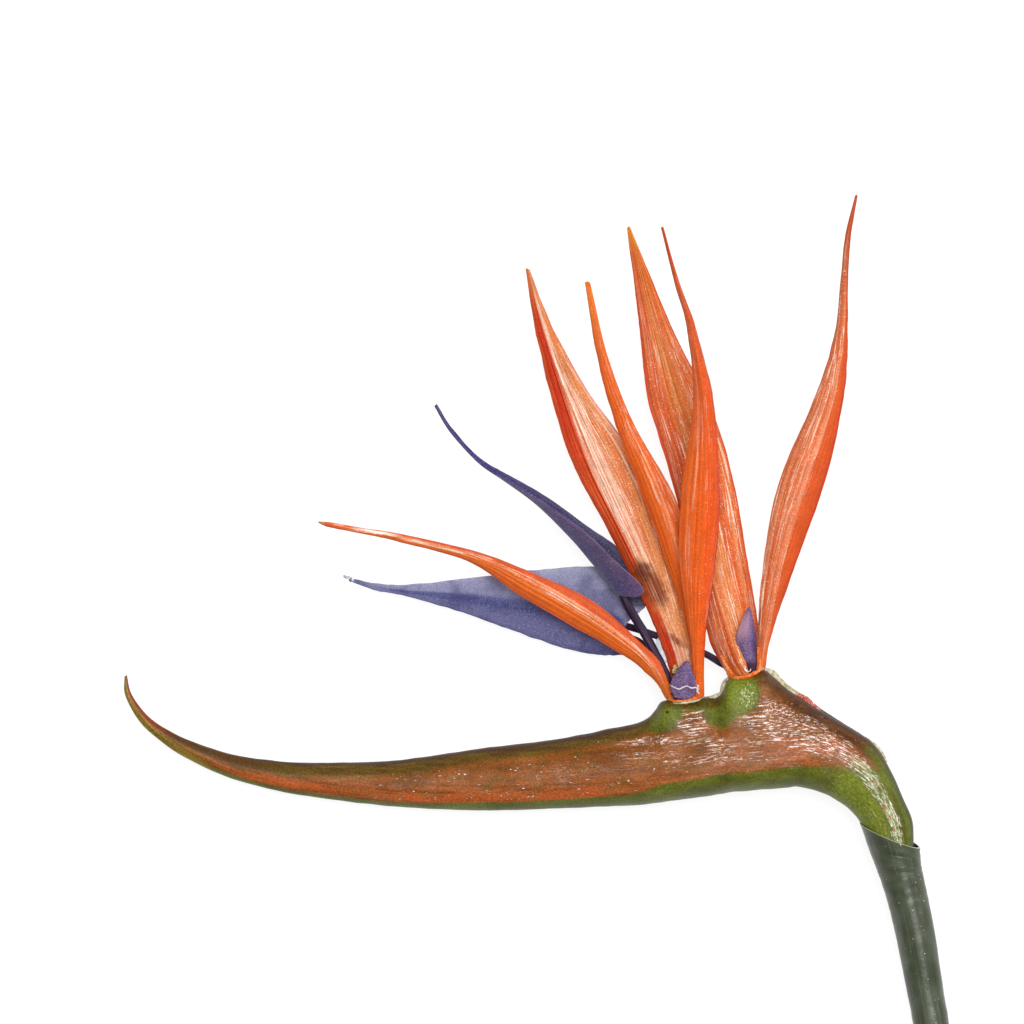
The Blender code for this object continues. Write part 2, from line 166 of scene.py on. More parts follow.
def finishPiece(piece, material, slot=None, *nodes):
    piece.data.materials.clear()
    piece.data.materials.append(material)
    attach(piece, "root")
    if nodes:
        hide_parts(*nodes)


def makePieces(shapes, build, pointAt, material, slot=None, ending="", shown=True):
    # a piece for each shape, from pointAt(shape, s, t); shown ones stand in for the solid of the same name
    for name, shape in shapes.items():
        piece = gridPiece(name + ending, build, lambda s, t: pointAt(shape, s, t))
        finishPiece(piece, material, slot, *([name] if shown else []))


# how bright white looks in this studio, and the gloss that lies over each kind of colour
studioGlow = {"gain": 1.06, "petalGain": 1.13, "veil": 0.032, "paintVeil": 0.022, "petalVeil": 0.018}


def tint(red, green, blue, veil=studioGlow["veil"], gain=studioGlow["gain"]):
    # a colour as it is seen in the studio, turned into a shader's linear values
    values = [value / 255 for value in (red, green, blue)]
    linear = [value / 12.92 if value < 0.04 else ((value + 0.055) / 1.055) ** 2.4 for value in values]
    return (*[max(value - veil, 0.12 * value) / gain for value in linear], 1.0)


def petalTint(red, green, blue):
    return tint(red, green, blue, studioGlow["petalVeil"], studioGlow["petalGain"])


def paintTint(red, green, blue):
    return tint(red, green, blue, studioGlow["paintVeil"])


working = {"tree": None}  # the node tree that the helpers below add to


def feed(node, wires):  # a socket takes a wire or a plain value
    for socket, value in wires.items():
        if isinstance(value, bpy.types.NodeSocket):
            working["tree"].links.new(value, node.inputs[socket])
        else:
            node.inputs[socket].default_value = value


def add(kind, wires=None, **settings):
    made = working["tree"].nodes.new(kind)
    for setting, value in settings.items():
        setattr(made, setting, value)
    feed(made, wires or {})
    return made


def newMaterial(name, **shine):
    material = bpy.data.materials.new(name)
    material.use_nodes = True
    working["tree"] = material.node_tree
    feed(shaderOf(material), {socket.replace("_", " "): value for socket, value in shine.items()})
    return material


def shaderOf(material):
    return material.node_tree.nodes["Principled BSDF"]


def maths(operation, a, b=0.0, c=0.0):
    return add("ShaderNodeMath", {0: a, 1: b, 2: c}, operation=operation).outputs[0]


def times(first, *others):
    for other in others:
        first = maths("MULTIPLY", first, other)
    return first


def between(value, low, high, toLow=0.0, toHigh=1.0):
    wires = {0: value, 1: low, 2: high, 3: toLow, 4: toHigh}
    return add("ShaderNodeMapRange", wires, interpolation_type="SMOOTHSTEP").outputs[0]


def mix(factor, a, b, blend="MIX"):
    return add("ShaderNodeMix", {0: factor, 6: a, 7: b}, data_type="RGBA", blend_type=blend).outputs[2]


def over(colour, paint, *shares):  # paint laid over a colour where all the shares are high
    return mix(times(*shares), colour, paint)


def ramp(factor, seen, *stops):  # each stop is a place and a colour, which seen turns into shader values
    made = add("ShaderNodeValToRGB", {0: factor})
    elements = made.color_ramp.elements
    while len(elements) > 1:
        elements.remove(elements[-1])
    elements[0].position, elements[0].color = stops[0][0], seen(*stops[0][1:])
    for position, *colour in stops[1:]:
        elements.new(position).color = seen(*colour)
    return made.outputs[0]


def scaled(vector, scale, shift=(0, 0, 0)):
    return add("ShaderNodeMapping", {"Vector": vector, "Scale": scale, "Location": shift}).outputs[0]


def noiseAt(vector, scale=1.0, detail=2.0, rough=0.5, warp=0.0):
    wires = {"Vector": vector, "Scale": scale, "Detail": detail, "Roughness": rough, "Distortion": warp}
    return add("ShaderNodeTexNoise", wires).outputs[0]


def drawnOut(vector, scale, shift=(0, 0, 0), detail=3.0, rough=0.5, warp=0.0):
    return noiseAt(scaled(vector, scale, shift), 1.0, detail, rough, warp)


def toned(colour, grain, darkest, lightest):  # a fine grain, darker and lighter than the colour
    level = between(grain, 0.28, 0.72, darkest, lightest)
    grey = add("ShaderNodeCombineColor", {0: level, 1: level, 2: level}).outputs[0]
    return mix(1.0, colour, grey, "MULTIPLY")


def uvAt():
    return add("ShaderNodeTexCoord").outputs["UV"]


def sheetAt():  # u, v and out of the flower's sheet, in millimetres
    shift = (-crownX, -crownY, -sheetLie["crownHeight"])
    return scaled(add("ShaderNodeTexCoord").outputs["Object"], (1 / mm, 1 / mm, 1 / mm), shift)


def partsOf(vector):
    return add("ShaderNodeSeparateXYZ", {0: vector}).outputs


def spotAt(u, v, long, wide, turn=0.0, soft=0.5, wobble=0.0):
    # a soft oval of paint in the sheet's plane
    sheet = sheetAt()
    if wobble:
        rough = add("ShaderNodeTexNoise", {"Vector": sheet, "Scale": 0.6, "Detail": 3.0}).outputs[1]
        moved = add("ShaderNodeVectorMath", {0: rough, 1: (0.5, 0.5, 0.5)}, operation="SUBTRACT").outputs[0]
        wires = {0: moved, 1: (wobble, wobble, wobble), 2: sheet}
        sheet = add("ShaderNodeVectorMath", wires, operation="MULTIPLY_ADD").outputs[0]
    lie = {"Location": (u, v, 0), "Rotation": (0, 0, math.radians(turn)), "Scale": (long, wide, 1000)}
    oval = add("ShaderNodeMapping", {"Vector": sheet, **lie}, vector_type="TEXTURE").outputs[0]
    reach = add("ShaderNodeVectorMath", {0: oval}, operation="LENGTH").outputs[1]
    return between(reach, 1.0, 1.0 - soft)


def ovalsOver(colour, seen, stains, *shares):  # each mark, a stain or a patch of painted light or shade, is its spot, its depth and its paint
    for spot, depth, paint in stains:
        colour = over(colour, seen(*paint), spotAt(*spot), depth, *shares)
    return colour


def finishMaterial(material, colour, height=None, strength=0.5, distance=0.2, **others):
    feed(shaderOf(material), {"Base Color": colour, **others})
    if height is not None:
        wires = {"Height": height, "Strength": strength, "Distance": distance * mm}
        feed(shaderOf(material), {"Normal": add("ShaderNodeBump", wires).outputs[0]})
    return material


def newGroup(name, inputs, outputs):
    group = bpy.data.node_groups.new(name, "ShaderNodeTree")
    for socket, value in inputs.items():
        made = group.interface.new_socket(socket, in_out="INPUT", socket_type="NodeSocketFloat")
        made.default_value = value
    for socket in outputs:
        group.interface.new_socket(socket, in_out="OUTPUT", socket_type="NodeSocketFloat")
    working["tree"] = group
    return group, add("NodeGroupInput").outputs


def grouped(group, **wires):
    return add("ShaderNodeGroup", wires, node_tree=group).outputs


def makeStreakGroup():
    # lengthwise fibres of a moulded sepal: broad bands, fine veins, painted highlights along them and a
    # height for the bump
    inputs = {"Along": 0.0, "Across": 0.0, "Seed": 0.0}
    group, given = newGroup("lengthStreaks", inputs, ("Bands", "Veins", "Gleam", "Height"))
    lie = add("ShaderNodeCombineXYZ", {0: given["Along"], 1: given["Across"], 2: given["Seed"]}).outputs[0]
    bands = drawnOut(lie, (2.2, 13.0, 1.0), detail=2.0)
    veins = drawnOut(lie, (3.4, 44.0, 1.0), rough=0.65)
    highlightLine = drawnOut(lie, (11.0, 44.0, 1.0), (7.0, 3.0, 0.0), 2.5, 0.65)
    highlightPatch = drawnOut(lie, (5.0, 8.0, 1.0), (2.0, 9.0, 0.0), 2.0)
    gleam = times(between(highlightLine, 0.54, 0.62), between(highlightPatch, 0.38, 0.58))
    height = maths("MULTIPLY_ADD", bands, 1.5, veins)
    feed(add("NodeGroupOutput"), {"Bands": bands, "Veins": veins, "Gleam": gleam, "Height": height})
    return group


def makeGrainGroup():
    # fine speckle of moulded plastic or flock, from the object's own coordinates
    group, given = newGroup("fineGrain", {"Size": 0.4}, ("Speck", "Cloud"))
    sheet = sheetAt()
    fine = maths("DIVIDE", 1.0, given["Size"])
    speck = noiseAt(sheet, fine, 2.0, 0.7)
    feed(add("NodeGroupOutput"), {"Speck": speck, "Cloud": noiseAt(sheet, times(fine, 0.12), 3.0, 0.6)})
    return group


streakGroup = makeStreakGroup()
grainGroup = makeGrainGroup()

# Each blade is laid over three lines of u, v, out: its near edge, its fold and its far edge. Colours are as
# seen, red, green and blue; the colours across hold painted highlights along the folds and painted shade on
# the flanks turned from the light. A tone lies under the painted highlights and a mark over them, each with
# its u, v, length, width, turn, softness and wobble, then its depth and colour. The low sepal's marks are
# pale lines of painted highlight along its fold, a bare brown point and a torn scrap near the tip. The wide
# sepal has yellow low on its face, then less painted highlight there, and painted shadows where the upper
# tongue's lobe and the lower tongue's stalk show through it.
highlightWhite = petalTint(255, 232, 212)
sepals = {
    "front_sepal_low": {
        "near": [(-3.6, 2, 3), (-7, 10.4, 2.6), (-12, 15.7, 2.8), (-24.6, 26.8, 3.2), (-40.5, 34.6, 3.6),
                 (-57, 41.1, 4.2), (-78, 46.1, 5.8), (-91, 48.2, 6.9), (-98.6, 49.6, 7.7),
                 (-102.6, 49.9, 8)],
        "fold": [(-4.4, 1.2, 2.6), (-7.8, 7.8, 2.8), (-13.6, 14.4, 3.6), (-26.8, 24.4, 4.4),
                 (-42.8, 33.8, 4.9), (-58.6, 40.4, 5.2), (-79, 45.4, 6.6), (-91.6, 47.6, 7.5),
                 (-99, 49.1, 8.1), (-102.7, 49.8, 8.4)],
        "far": [(-5.2, 0.2, 1.4), (-8.3, 5.2, 1.2), (-16, 11.8, 1.6), (-29.7, 19.6, 1.8), (-45, 28.5, 2.4),
                (-60.4, 38.6, 3.6), (-80, 44.3, 5.4), (-92, 47, 6.6), (-99.9, 48.5, 7.4),
                (-102.6, 49.7, 7.8)],
        "across": [(0, 206, 98, 60), (0.2, 206, 92, 56), (0.38, 206, 86, 50), (0.48, 236, 158, 118),
                   (0.55, 218, 110, 56), (0.75, 216, 104, 44), (1, 210, 100, 50)],
        "tip": (224, 100, 48), "foot": (218, 108, 50), "deep": (198, 88, 44), "line": (196, 84, 44),
        "pale": (220, 136, 92),
        "gleam": 0.75, "gleamFrom": 0.34, "gleamTo": 0.62, "fibres": 0.35, "weave": 0.6, "tipFrom": 0.68,
        "stains": [
            # pale lines of painted highlight along the fold
            ((-86.6, 47.1, 8.4, 0.8, -9, 0.7, 1), 0.95, (252, 228, 212)),
            ((-75.5, 44.4, 6, 0.5, -10, 0.8, 1), 0.7, (250, 214, 190)),
            ((-97, 49.2, 2.6, 0.5, -9, 0.7, 1), 0.6, (248, 206, 180)),
            ((-102.8, 49.9, 2.6, 1.6, -9, 0.5, 0.6), 0.95, (186, 140, 104)),
            ((-79, 46.8, 3.6, 0.4, -9, 0.6, 0.8), 0.8, (150, 96, 50)),
        ],
    },
    "front_sepal_wide": {
        "near": [(-3.6, 0.6, -1.8), (-4.8, 10.2, -1.8), (-10, 24, -1.9), (-20.4, 45.6, -1.6),
                 (-31.2, 65.8, -0.4), (-37.4, 85, 1.2), (-42.1, 105, 3), (-44.6, 120.8, 4.6)],
        "fold": [(-1.4, 0.8, -1), (-2.2, 11, -0.6), (-7.2, 25, -0.2), (-17, 45.4, 0.4), (-26.8, 65.8, 1.6),
                 (-33.8, 85.4, 2.8), (-40.2, 105.2, 4), (-44.1, 120.7, 5)],
        "far": [(2.8, 1, -1.8), (3, 12, -1.8), (-1, 27, -1.8), (-5.6, 46, -1.6), (-12.9, 66.2, -0.2),
                (-26.9, 86, 1.4), (-37.6, 105.4, 3), (-43.6, 120.4, 4.6)],
        "across": [(0, 212, 74, 42), (0.2, 198, 58, 32), (0.4, 194, 56, 30), (0.46, 176, 46, 24),
                   (0.5, 214, 128, 88), (0.56, 234, 192, 168), (0.66, 230, 174, 142), (0.75, 220, 144, 92),
                   (0.9, 218, 134, 72), (1, 204, 110, 56)],
        "tip": (204, 118, 68), "foot": (214, 112, 60), "deep": (212, 128, 76), "line": (206, 98, 54),
        "pale": (240, 208, 186),
        "gleam": 1, "gleamFrom": 0.5, "gleamTo": 1, "fibres": 0.85, "weave": 1, "tipFrom": 0.85,
        "tones": [
            ((-5, 28, 20, 5.4, -66, 0.5, 3), 0.75, (222, 142, 84)),
        ],
        "stains": [
            ((-8.4, 32, 11, 4.6, -62, 0.6, 4), 0.6, (216, 134, 82)),
            # painted shadows seen through the petal: the upper tongue's lobe, then the lower tongue's stalk
            ((-8.8, 31.6, 8.6, 4.3, -62, 0.6, 4), 0.92, (128, 64, 44)),
            ((-11.6, 36.1, 4.6, 3, -60, 0.7, 4), 0.88, (92, 48, 34)),
            ((-2.2, 16.4, 4.8, 1.6, -33, 0.8, 2), 0.85, (118, 48, 28)),
        ],
    },
    "front_sepal_narrow": {
        "near": [(2.4, 0.8, 0.4), (1.4, 16.8, 0.8), (-6.5, 42.6, 3.6), (-13.1, 60.2, 6.2), (-19.8, 78, 8.4),
                 (-24.7, 96, 10.8), (-28.1, 116.8, 14.2)],
        "fold": [(3.6, 0.8, 0.8), (3.2, 17.2, 1.8), (-1.2, 41, 5.2), (-7, 59.5, 8), (-15.6, 77.8, 10),
                 (-22.5, 96, 12), (-27.3, 117, 14.6)],
        "far": [(4.8, 0.9, 0.4), (4.6, 17.5, 0.8), (2.8, 38, 3.4), (-3.3, 57.6, 5.6), (-14.6, 77.4, 8.2),
                (-21.8, 96, 10.6), (-26.7, 116.6, 14.2)],
        "across": [(0, 212, 98, 46), (0.28, 220, 100, 44), (0.4, 226, 118, 66), (0.46, 234, 152, 108),
                   (0.52, 218, 98, 42), (0.75, 222, 110, 56), (1, 226, 132, 84)],
        "tip": (228, 128, 62), "foot": (226, 106, 46), "deep": (214, 92, 38), "line": (204, 78, 34),
        "pale": (226, 116, 64),
        "gleam": 0.36, "gleamFrom": 0.3, "gleamTo": 0.98, "fibres": 0.4, "weave": 0.55, "tipFrom": 0.8,
    },
    "front_sepal_centre": {
        "near": [(2.2, 0.8, 2.6), (1.4, 16.8, 4.6), (-1.6, 40, 8.8), (-0.9, 60, 12.8), (2.2, 83.5, 18),
                 (0.3, 104, 22.5), (-3.3, 117, 26.6), (-7, 131.7, 31)],
        "fold": [(3.8, 0.9, 3.2), (4, 17, 6.2), (5.2, 39, 11.4), (6, 59, 15.8), (5.3, 83.2, 20.6),
                 (1.4, 104, 24.2), (-2.6, 117, 27.8), (-6.6, 131.9, 31.4)],
        "far": [(5.3, 1.1, 2.6), (5.6, 17, 4.4), (8.4, 38, 8.6), (9.5, 58, 12.6), (7.9, 83, 17.8),
                (2.7, 103.8, 22.3), (-2.2, 116.8, 26.4), (-6.4, 131.5, 31)],
        "across": [(0, 222, 106, 50), (0.3, 226, 102, 44), (0.5, 222, 94, 44), (0.78, 214, 86, 44),
                   (0.93, 200, 74, 42), (1, 178, 54, 32)],
        "tip": (168, 76, 50), "foot": (222, 104, 46), "deep": (214, 88, 38), "line": (208, 78, 34),
        "pale": (230, 116, 66),
        "gleam": 0.18, "gleamFrom": 0.1, "gleamTo": 0.95, "fibres": 0.4, "weave": 0.55, "tipFrom": 0.42,
    },
    "rear_sepal_wide": {
        "near": [(12.6, 6.4, -1.8), (10.2, 10.2, -2.2), (6.4, 18.6, -3), (1.8, 40, -3.6),
                 (-4.3, 64.1, -3.4), (-10.3, 84.2, -2.2), (-12.8, 105, 0), (-16.3, 132, 4)],
        "fold": [(17.2, 7.2, 3.9), (15.1, 11.6, 4.5), (12.3, 20.4, 1.6), (6.4, 41, -1.2), (1.8, 64.5, -1.4),
                 (-4.4, 84.8, -0.6), (-9.2, 105.2, 1.2), (-15.7, 132.6, 4.4)],
        "far": [(20.8, 7.6, -1.8), (20.7, 12, -2.4), (20.5, 21, -2.8), (17.4, 40, -3.4), (13, 64.1, -3.2),
                (6.4, 84.2, -2), (-3.9, 104.8, 0), (-15.4, 132.2, 4)],
        "across": [(0, 204, 76, 44), (0.08, 218, 108, 72), (0.25, 216, 112, 72), (0.4, 202, 88, 46),
                   (0.47, 214, 128, 76), (0.55, 210, 132, 72), (0.7, 208, 126, 64), (0.8, 208, 94, 42),
                   (0.9, 212, 112, 62), (1, 200, 78, 40)],
        "tip": (232, 168, 60), "foot": (240, 146, 90), "deep": (198, 86, 40), "line": (198, 88, 44),
        "pale": (222, 152, 104),
        "gleam": 0.7, "gleamFrom": 0.08, "gleamTo": 0.98, "fibres": 0.75, "weave": 1, "tipFrom": 0.95,
    },
    "rear_sepal_tall": {
        "near": [(20.2, 8.4, -0.6), (20.4, 18, 0.4), (21.9, 38.5, 3), (26.3, 61.2, 6.4), (34.6, 81.2, 9.2),
                 (39.3, 93.6, 11), (42.1, 105.6, 12.8), (43.3, 118.4, 14.8), (44.5, 130, 16.6),
                 (47.2, 140.8, 18.4)],
        "fold": [(21.5, 9, 0.2), (23, 17.6, 1.6), (26.8, 38.2, 4.8), (33.6, 61.6, 8.4), (40.4, 81.8, 10.8),
                 (42.7, 93.8, 12.4), (43.9, 105.4, 14), (44.4, 118.2, 15.6), (45.3, 129.9, 17),
                 (47.5, 141, 18.8)],
        "far": [(22.6, 9.2, -0.6), (23.8, 17, 0.2), (30.6, 37.4, 2.6), (39.1, 61.4, 6), (43.7, 82, 8.8),
                (45, 93.8, 10.6), (45.2, 105, 12.4), (45.1, 117.8, 14.4), (45.9, 129.6, 16.4),
                (47.7, 140.6, 18.2)],
        "across": [(0, 196, 110, 70), (0.2, 210, 122, 82), (0.42, 212, 112, 66), (0.5, 228, 152, 116),
                   (0.57, 212, 98, 56), (0.8, 202, 84, 46), (1, 184, 62, 38)],
        "tip": (150, 64, 42), "foot": (216, 104, 54), "deep": (204, 94, 54), "line": (200, 88, 50),
        "pale": (220, 146, 112),
        "gleam": 0.7, "gleamFrom": 0.02, "gleamTo": 0.6, "fibres": 0.6, "weave": 0.65, "tipFrom": 0.55,
    },
}
sepalBuild = {
    "rows": 170, "sides": 56, "seed": 1.3, "seedStep": 3.7, "finish": "_orange", "slot": "sepal_orange",
    "thickness": 0.8, "thinnest": 0.3, "crown": 0.08, "ribHeight": 0.16, "ribs": 9,
    "edgeColour": petalTint(200, 70, 34),
}


def bladeAt(lines, s, t, crown):
    # a point of a blade, how near it is to the fold, how full the blade is, and the way to the near edge
    near, fold, far = (lineAt(line, s) for line in lines)
    flank, edge = (near, t * 2) if t < 0.5 else (far, 2 - t * 2)
    width = (flank - fold).length
    spot = flank.lerp(fold, edge) + Vector((0, 0, 1)) * crown * width * 4 * edge * (1 - edge)
    return spot, edge, min(1.0, width / 3.0), (near - far).normalized()


def sepalPoint(lines, seed, s, t):
    spot, edge, body, side = bladeAt(lines, s, t, sepalBuild["crown"])
    ribs = math.cos(math.tau * (t * sepalBuild["ribs"] + 0.4 * wander(s * 3, seed))) * 0.6
    ribs += wander(s * 4, t * 26, seed)
    spot += Vector((0, 0, sepalBuild["ribHeight"] * body * ribs))
    # the moulded edges wander a little
    sway = (1 - edge) * body * (0.22 * wander(s * 22, seed, t * 2) + 0.1 * wander(s * 70, seed, t * 2))
    return spot + side * sway


def sepalMaterial(name, look):
    material = newMaterial(name, Roughness=0.42, Specular_IOR_Level=0.15)
    along, across = partsOf(uvAt())[:2]
    streaks = grouped(streakGroup, Along=along, Across=times(across, look["weave"]), Seed=look["seed"])
    bands, veins = streaks["Bands"], streaks["Veins"]
    grain = grouped(grainGroup, Size=0.5)
    tip, foot, deep, pale, line = (petalTint(*look[part]) for part in ("tip", "foot", "deep", "pale", "line"))
    # the colour bands wander with the fibres
    shift = maths("MULTIPLY_ADD", bands, 0.16, -0.08)
    colour = ramp(maths("ADD", across, shift), petalTint, *look["across"])
    colour = over(colour, tip, between(along, look["tipFrom"], 1.0))
    colour = over(colour, foot, between(along, 0.14, 0.02))
    low, high = look["gleamFrom"], look["gleamTo"]
    face = times(between(across, low - 0.05, low + 0.05), between(across, high + 0.05, high - 0.05))
    colour = over(colour, deep, between(bands, 0.49, 0.38), face, 0.7, look["fibres"])
    colour = over(colour, pale, between(bands, 0.5, 0.62), face, 0.7, look["fibres"])
    colour = over(colour, line, between(veins, 0.53, 0.43), look["fibres"])
    broken = between(veins, 0.64, 0.5, 0.3, 1.0)
    colour = ovalsOver(colour, petalTint, look.get("tones", []), broken)
    # painted highlights along the fibres of the face, fading at the foot and the tip
    ends = times(between(along, 0.02, 0.2), between(along, 0.95, 0.75))
    shown = times(face, ends, look["gleam"])
    colour = over(colour, highlightWhite, streaks["Gleam"], shown, between(grain["Speck"], 0.26, 0.48, 0.35, 1.0))
    # painted glints: fine white specks, most where the painted highlights lie
    glints = between(noiseAt(sheetAt(), 2.3, 2.0, 0.8), 0.6, 0.68)
    colour = over(colour, highlightWhite, glints, maths("MULTIPLY_ADD", shown, 0.8, 0.06))
    # then the marks: stains and scraps, pale lines of painted highlight, and painted shadows seen through the
    # petal
    colour = ovalsOver(colour, petalTint, look.get("stains", []), broken)
    edge = maths("ABSOLUTE", maths("SUBTRACT", across, 0.5))
    colour = over(colour, sepalBuild["edgeColour"], between(edge, 0.475, 0.5), 0.7)
    colour = toned(colour, grain["Speck"], 0.86, 1.12)
    colour = toned(colour, grain["Cloud"], 0.9, 1.06)
    height = maths("MULTIPLY_ADD", grain["Speck"], 0.3, streaks["Height"])
    return finishMaterial(material, colour, height, 0.7, 0.3, Roughness=between(veins, 0.3, 0.7, 0.36, 0.5))


def thinEdges(piece):  # the wall's weights, low along the edges and at the tip
    group = piece.vertex_groups.new(name="wall")
    uvs = {}
    for loop in piece.data.loops:
        uvs[loop.vertex_index] = tuple(piece.data.uv_layers[0].data[loop.index].uv)
    for vertex, (s, t) in uvs.items():
        group.add([vertex], ease(min(t, 1 - t) * 2, 0.0, 0.3) * ease(s, 1.0, 0.8), "REPLACE")


def makeBlades(blades, build, pointAt, materialOf):
    for index, (name, shape) in enumerate(blades.items()):
        seed = build["seed"] + build["seedStep"] * index
        lines = [vectors(shape[line]) for line in ("near", "fold", "far")]
        piece = gridPiece(name + "_blade", build, lambda s, t: pointAt(lines, seed, s, t), wraps=False)
        if "thinnest" in build:
            thinEdges(piece)
        thicken(piece, build["thickness"], build.get("thinnest", 1.0))
        material = materialOf(name + build["finish"], dict(shape, seed=seed))
        finishPiece(piece, material, build["slot"], name)


makeBlades(sepals, sepalBuild, sepalPoint, sepalMaterial)
print("sepals made:", len(sepals))

# the upper tongue's colours across hold a painted highlight along its fold, and its far lobe, from the fold
# to the far edge, is painted in shade
tongues = {
    "upper_tongue": {
        "near": [(-17.2, 29.6, -0.2), (-14, 29, 1.4), (-12, 29.8, 2.4), (-11.9, 31.4, 2.8),
                 (-14.4, 34.2, 3.4), (-20, 39.2, 4), (-27.6, 46.6, 4.6), (-39.6, 55.2, 4.6),
                 (-50.2, 61.9, 4.6), (-57.7, 66.8, 5.2), (-65.3, 75.4, 6.4), (-69.7, 82.8, 7.8)],
        "fold": [(-18.2, 29.4, -1.2), (-18.9, 29.9, -1.2), (-19.6, 30.7, -1), (-20.4, 31.7, -0.9),
                 (-21.7, 33.7, -0.7), (-25.9, 38.5, 0), (-31.5, 45.1, 0.8), (-41, 54.5, 2.2),
                 (-50.3, 61.4, 3.4), (-57.7, 66.6, 4.6), (-65.5, 75.1, 6), (-69.9, 82.4, 7.5)],
        "far": [(-16.6, 27.6, -2.6), (-12, 26.6, -3.4), (-9, 27.2, -4.2), (-8.4, 29.4, -4.4),
                (-10.2, 34.2, -4.2), (-18.5, 42.4, -3.2), (-26.5, 47.9, -1.8), (-38.3, 56.4, 0.4),
                (-49.7, 63, 2.4), (-57.2, 67.4, 4.2), (-65, 75.7, 5.8), (-69.6, 82.7, 7.3)],
        "across": [(0, 98, 76, 106), (0.12, 86, 66, 98), (0.3, 72, 58, 94), (0.46, 68, 60, 102),
                   (0.5, 92, 84, 120), (0.53, 44, 38, 56), (0.78, 54, 48, 68), (1, 82, 78, 98)],
        "tip": (68, 64, 110), "tipFrom": 0.42,
    },
    "lower_tongue": {
        "near": [(-16.2, 22.4, -5.4), (-10.8, 26.8, -6.4), (-11.8, 31.8, -6.6), (-24, 37, -6.4),
                 (-42.8, 36.2, -5.8), (-58, 34.3, -5), (-76.4, 32.2, -4.2), (-86.4, 32.5, -3.4),
                 (-93.2, 33.8, -3)],
        "fold": [(-16.8, 20.2, -5.2), (-19.5, 21.8, -5.4), (-25, 23, -5.4), (-34, 24.4, -5.2),
                 (-48, 26.2, -4.8), (-64, 28.6, -4.2), (-79, 30.4, -3.8), (-86.6, 31.7, -3.2),
                 (-93.3, 33.4, -2.9)],
        "far": [(-17.2, 17.8, -5.6), (-16, 13.4, -6.4), (-22, 12.5, -6.4), (-33, 14.3, -6),
                (-47.5, 19.2, -5.4), (-62, 24.5, -4.8), (-77.5, 29, -4.2), (-86.4, 30.7, -3.4),
                (-93.1, 33, -3)],
        "across": [(0, 158, 160, 184), (0.1, 140, 140, 168), (0.36, 130, 130, 160), (0.43, 88, 90, 130),
                   (0.53, 78, 80, 120), (0.68, 98, 98, 134), (0.9, 102, 100, 136), (1, 86, 86, 122)],
        "tip": (118, 118, 150), "tipFrom": 0.72,
    },
}
tongueBuild = {
    "rows": 150, "sides": 48, "seed": 20.0, "seedStep": 5.1, "finish": "_flock", "slot": "tongue_violet",
    "thickness": 0.75, "crown": 0.05, "pale": tint(150, 152, 186), "dark": tint(54, 50, 92),
}


def tonguePoint(lines, seed, s, t):
    spot, edge, body, side = bladeAt(lines, s, t, tongueBuild["crown"])
    spot += Vector((0, 0, 0.12 * body * wander(s * 30, t * 8, seed)))
    return spot + side * (1 - edge) * body * 0.3 * wander(s * 40, seed, t * 2)


def tongueMaterial(name, look):
    material = newMaterial(
        name, Roughness=0.85, Specular_IOR_Level=0.2, Sheen_Weight=0.25, Sheen_Roughness=0.6
    )
    along, across = partsOf(uvAt())[:2]
    grain = grouped(grainGroup, Size=0.3)
    flock = grouped(grainGroup, Size=0.9)
    colour = ramp(across, tint, *look["across"])
    colour = over(colour, tint(*look["tip"]), between(along, look["tipFrom"], 0.95))
    colour = over(colour, tongueBuild["pale"], between(grain["Speck"], 0.52, 0.72), 0.4)
    colour = over(colour, tongueBuild["dark"], between(flock["Cloud"], 0.55, 0.35), 0.4)
    colour = toned(colour, grain["Speck"], 0.7, 1.25)
    return finishMaterial(material, colour, grain["Speck"], 0.6)


makeBlades(tongues, tongueBuild, tonguePoint, tongueMaterial)
print("tongues made:", len(tongues))

stalks = {  # radius, and the line of its middle
    "upper_tongue_stalk": (1.15, [(-17.6, 30.4, -1.6), (-15.6, 25.8, -1), (-11.3, 18.6, 0),
                                  (-7.2, 10.9, -0.2), (-5.2, 6.6, -0.1), (-4.4, 2.4, 0)]),
    "lower_tongue_stalk": (0.9, [(-18.4, 21.2, -7), (-15.2, 20.3, -6.2), (-9.5, 18.5, -4.9), (-2, 15.6, -4.8),
                                 (5.6, 12.9, -4.9), (10.4, 10.1, -5), (13.6, 8.8, -5)]),
    "lower_tongue_side_stalk": (0.6, [(-15.6, 17.8, -4.2), (-12.2, 16.2, -3.4), (-9, 12.4, -2.6),
                                      (-6.2, 7.4, -2.4), (-5.2, 2.6, -2.5)]),
}
stalkBuild = {"rows": 60, "sides": 24, "groove": 0.3, "lumps": 0.06}


def tubePoint(points, radius, s, t):
    # a point on a tube round a line of the sheet, with t = 0.25 facing out
    line, turn = vectors(points), math.tau * t
    along = headingAt(line, s)
    side = along.cross(Vector((0, 0, 1))).normalized()
    front = side.cross(along)
    return lineAt(line, s) + (side * math.cos(turn) + front * math.sin(turn)) * radius


def stalkPoint(stalk, s, t):  # two ribs side by side, with a groove along the front
    radius, points = stalk
    across = math.cos(math.tau * t)
    radius *= 0.8 + stalkBuild["groove"] * abs(across) ** 1.5
    return tubePoint(points, radius * (1 + stalkBuild["lumps"] * wander(s * 14, across)), s, t)


def stalkMaterial():
    material = newMaterial("stalk_dark_violet", Roughness=0.5, Specular_IOR_Level=0.2)
    ridge = drawnOut(uvAt(), (3.0, 14.0, 1.0))
    grain = grouped(grainGroup, Size=0.3)
    colour = ramp(ridge, paintTint, (0.3, 42, 28, 44), (0.55, 58, 42, 62), (0.75, 100, 88, 114))
    return finishMaterial(material, colour, maths("MULTIPLY_ADD", grain["Speck"], 0.3, ridge), 0.6)


makePieces(stalks, stalkBuild, stalkPoint, stalkMaterial(), "stalk_dark", "_rib")
print("stalks made:", len(stalks))

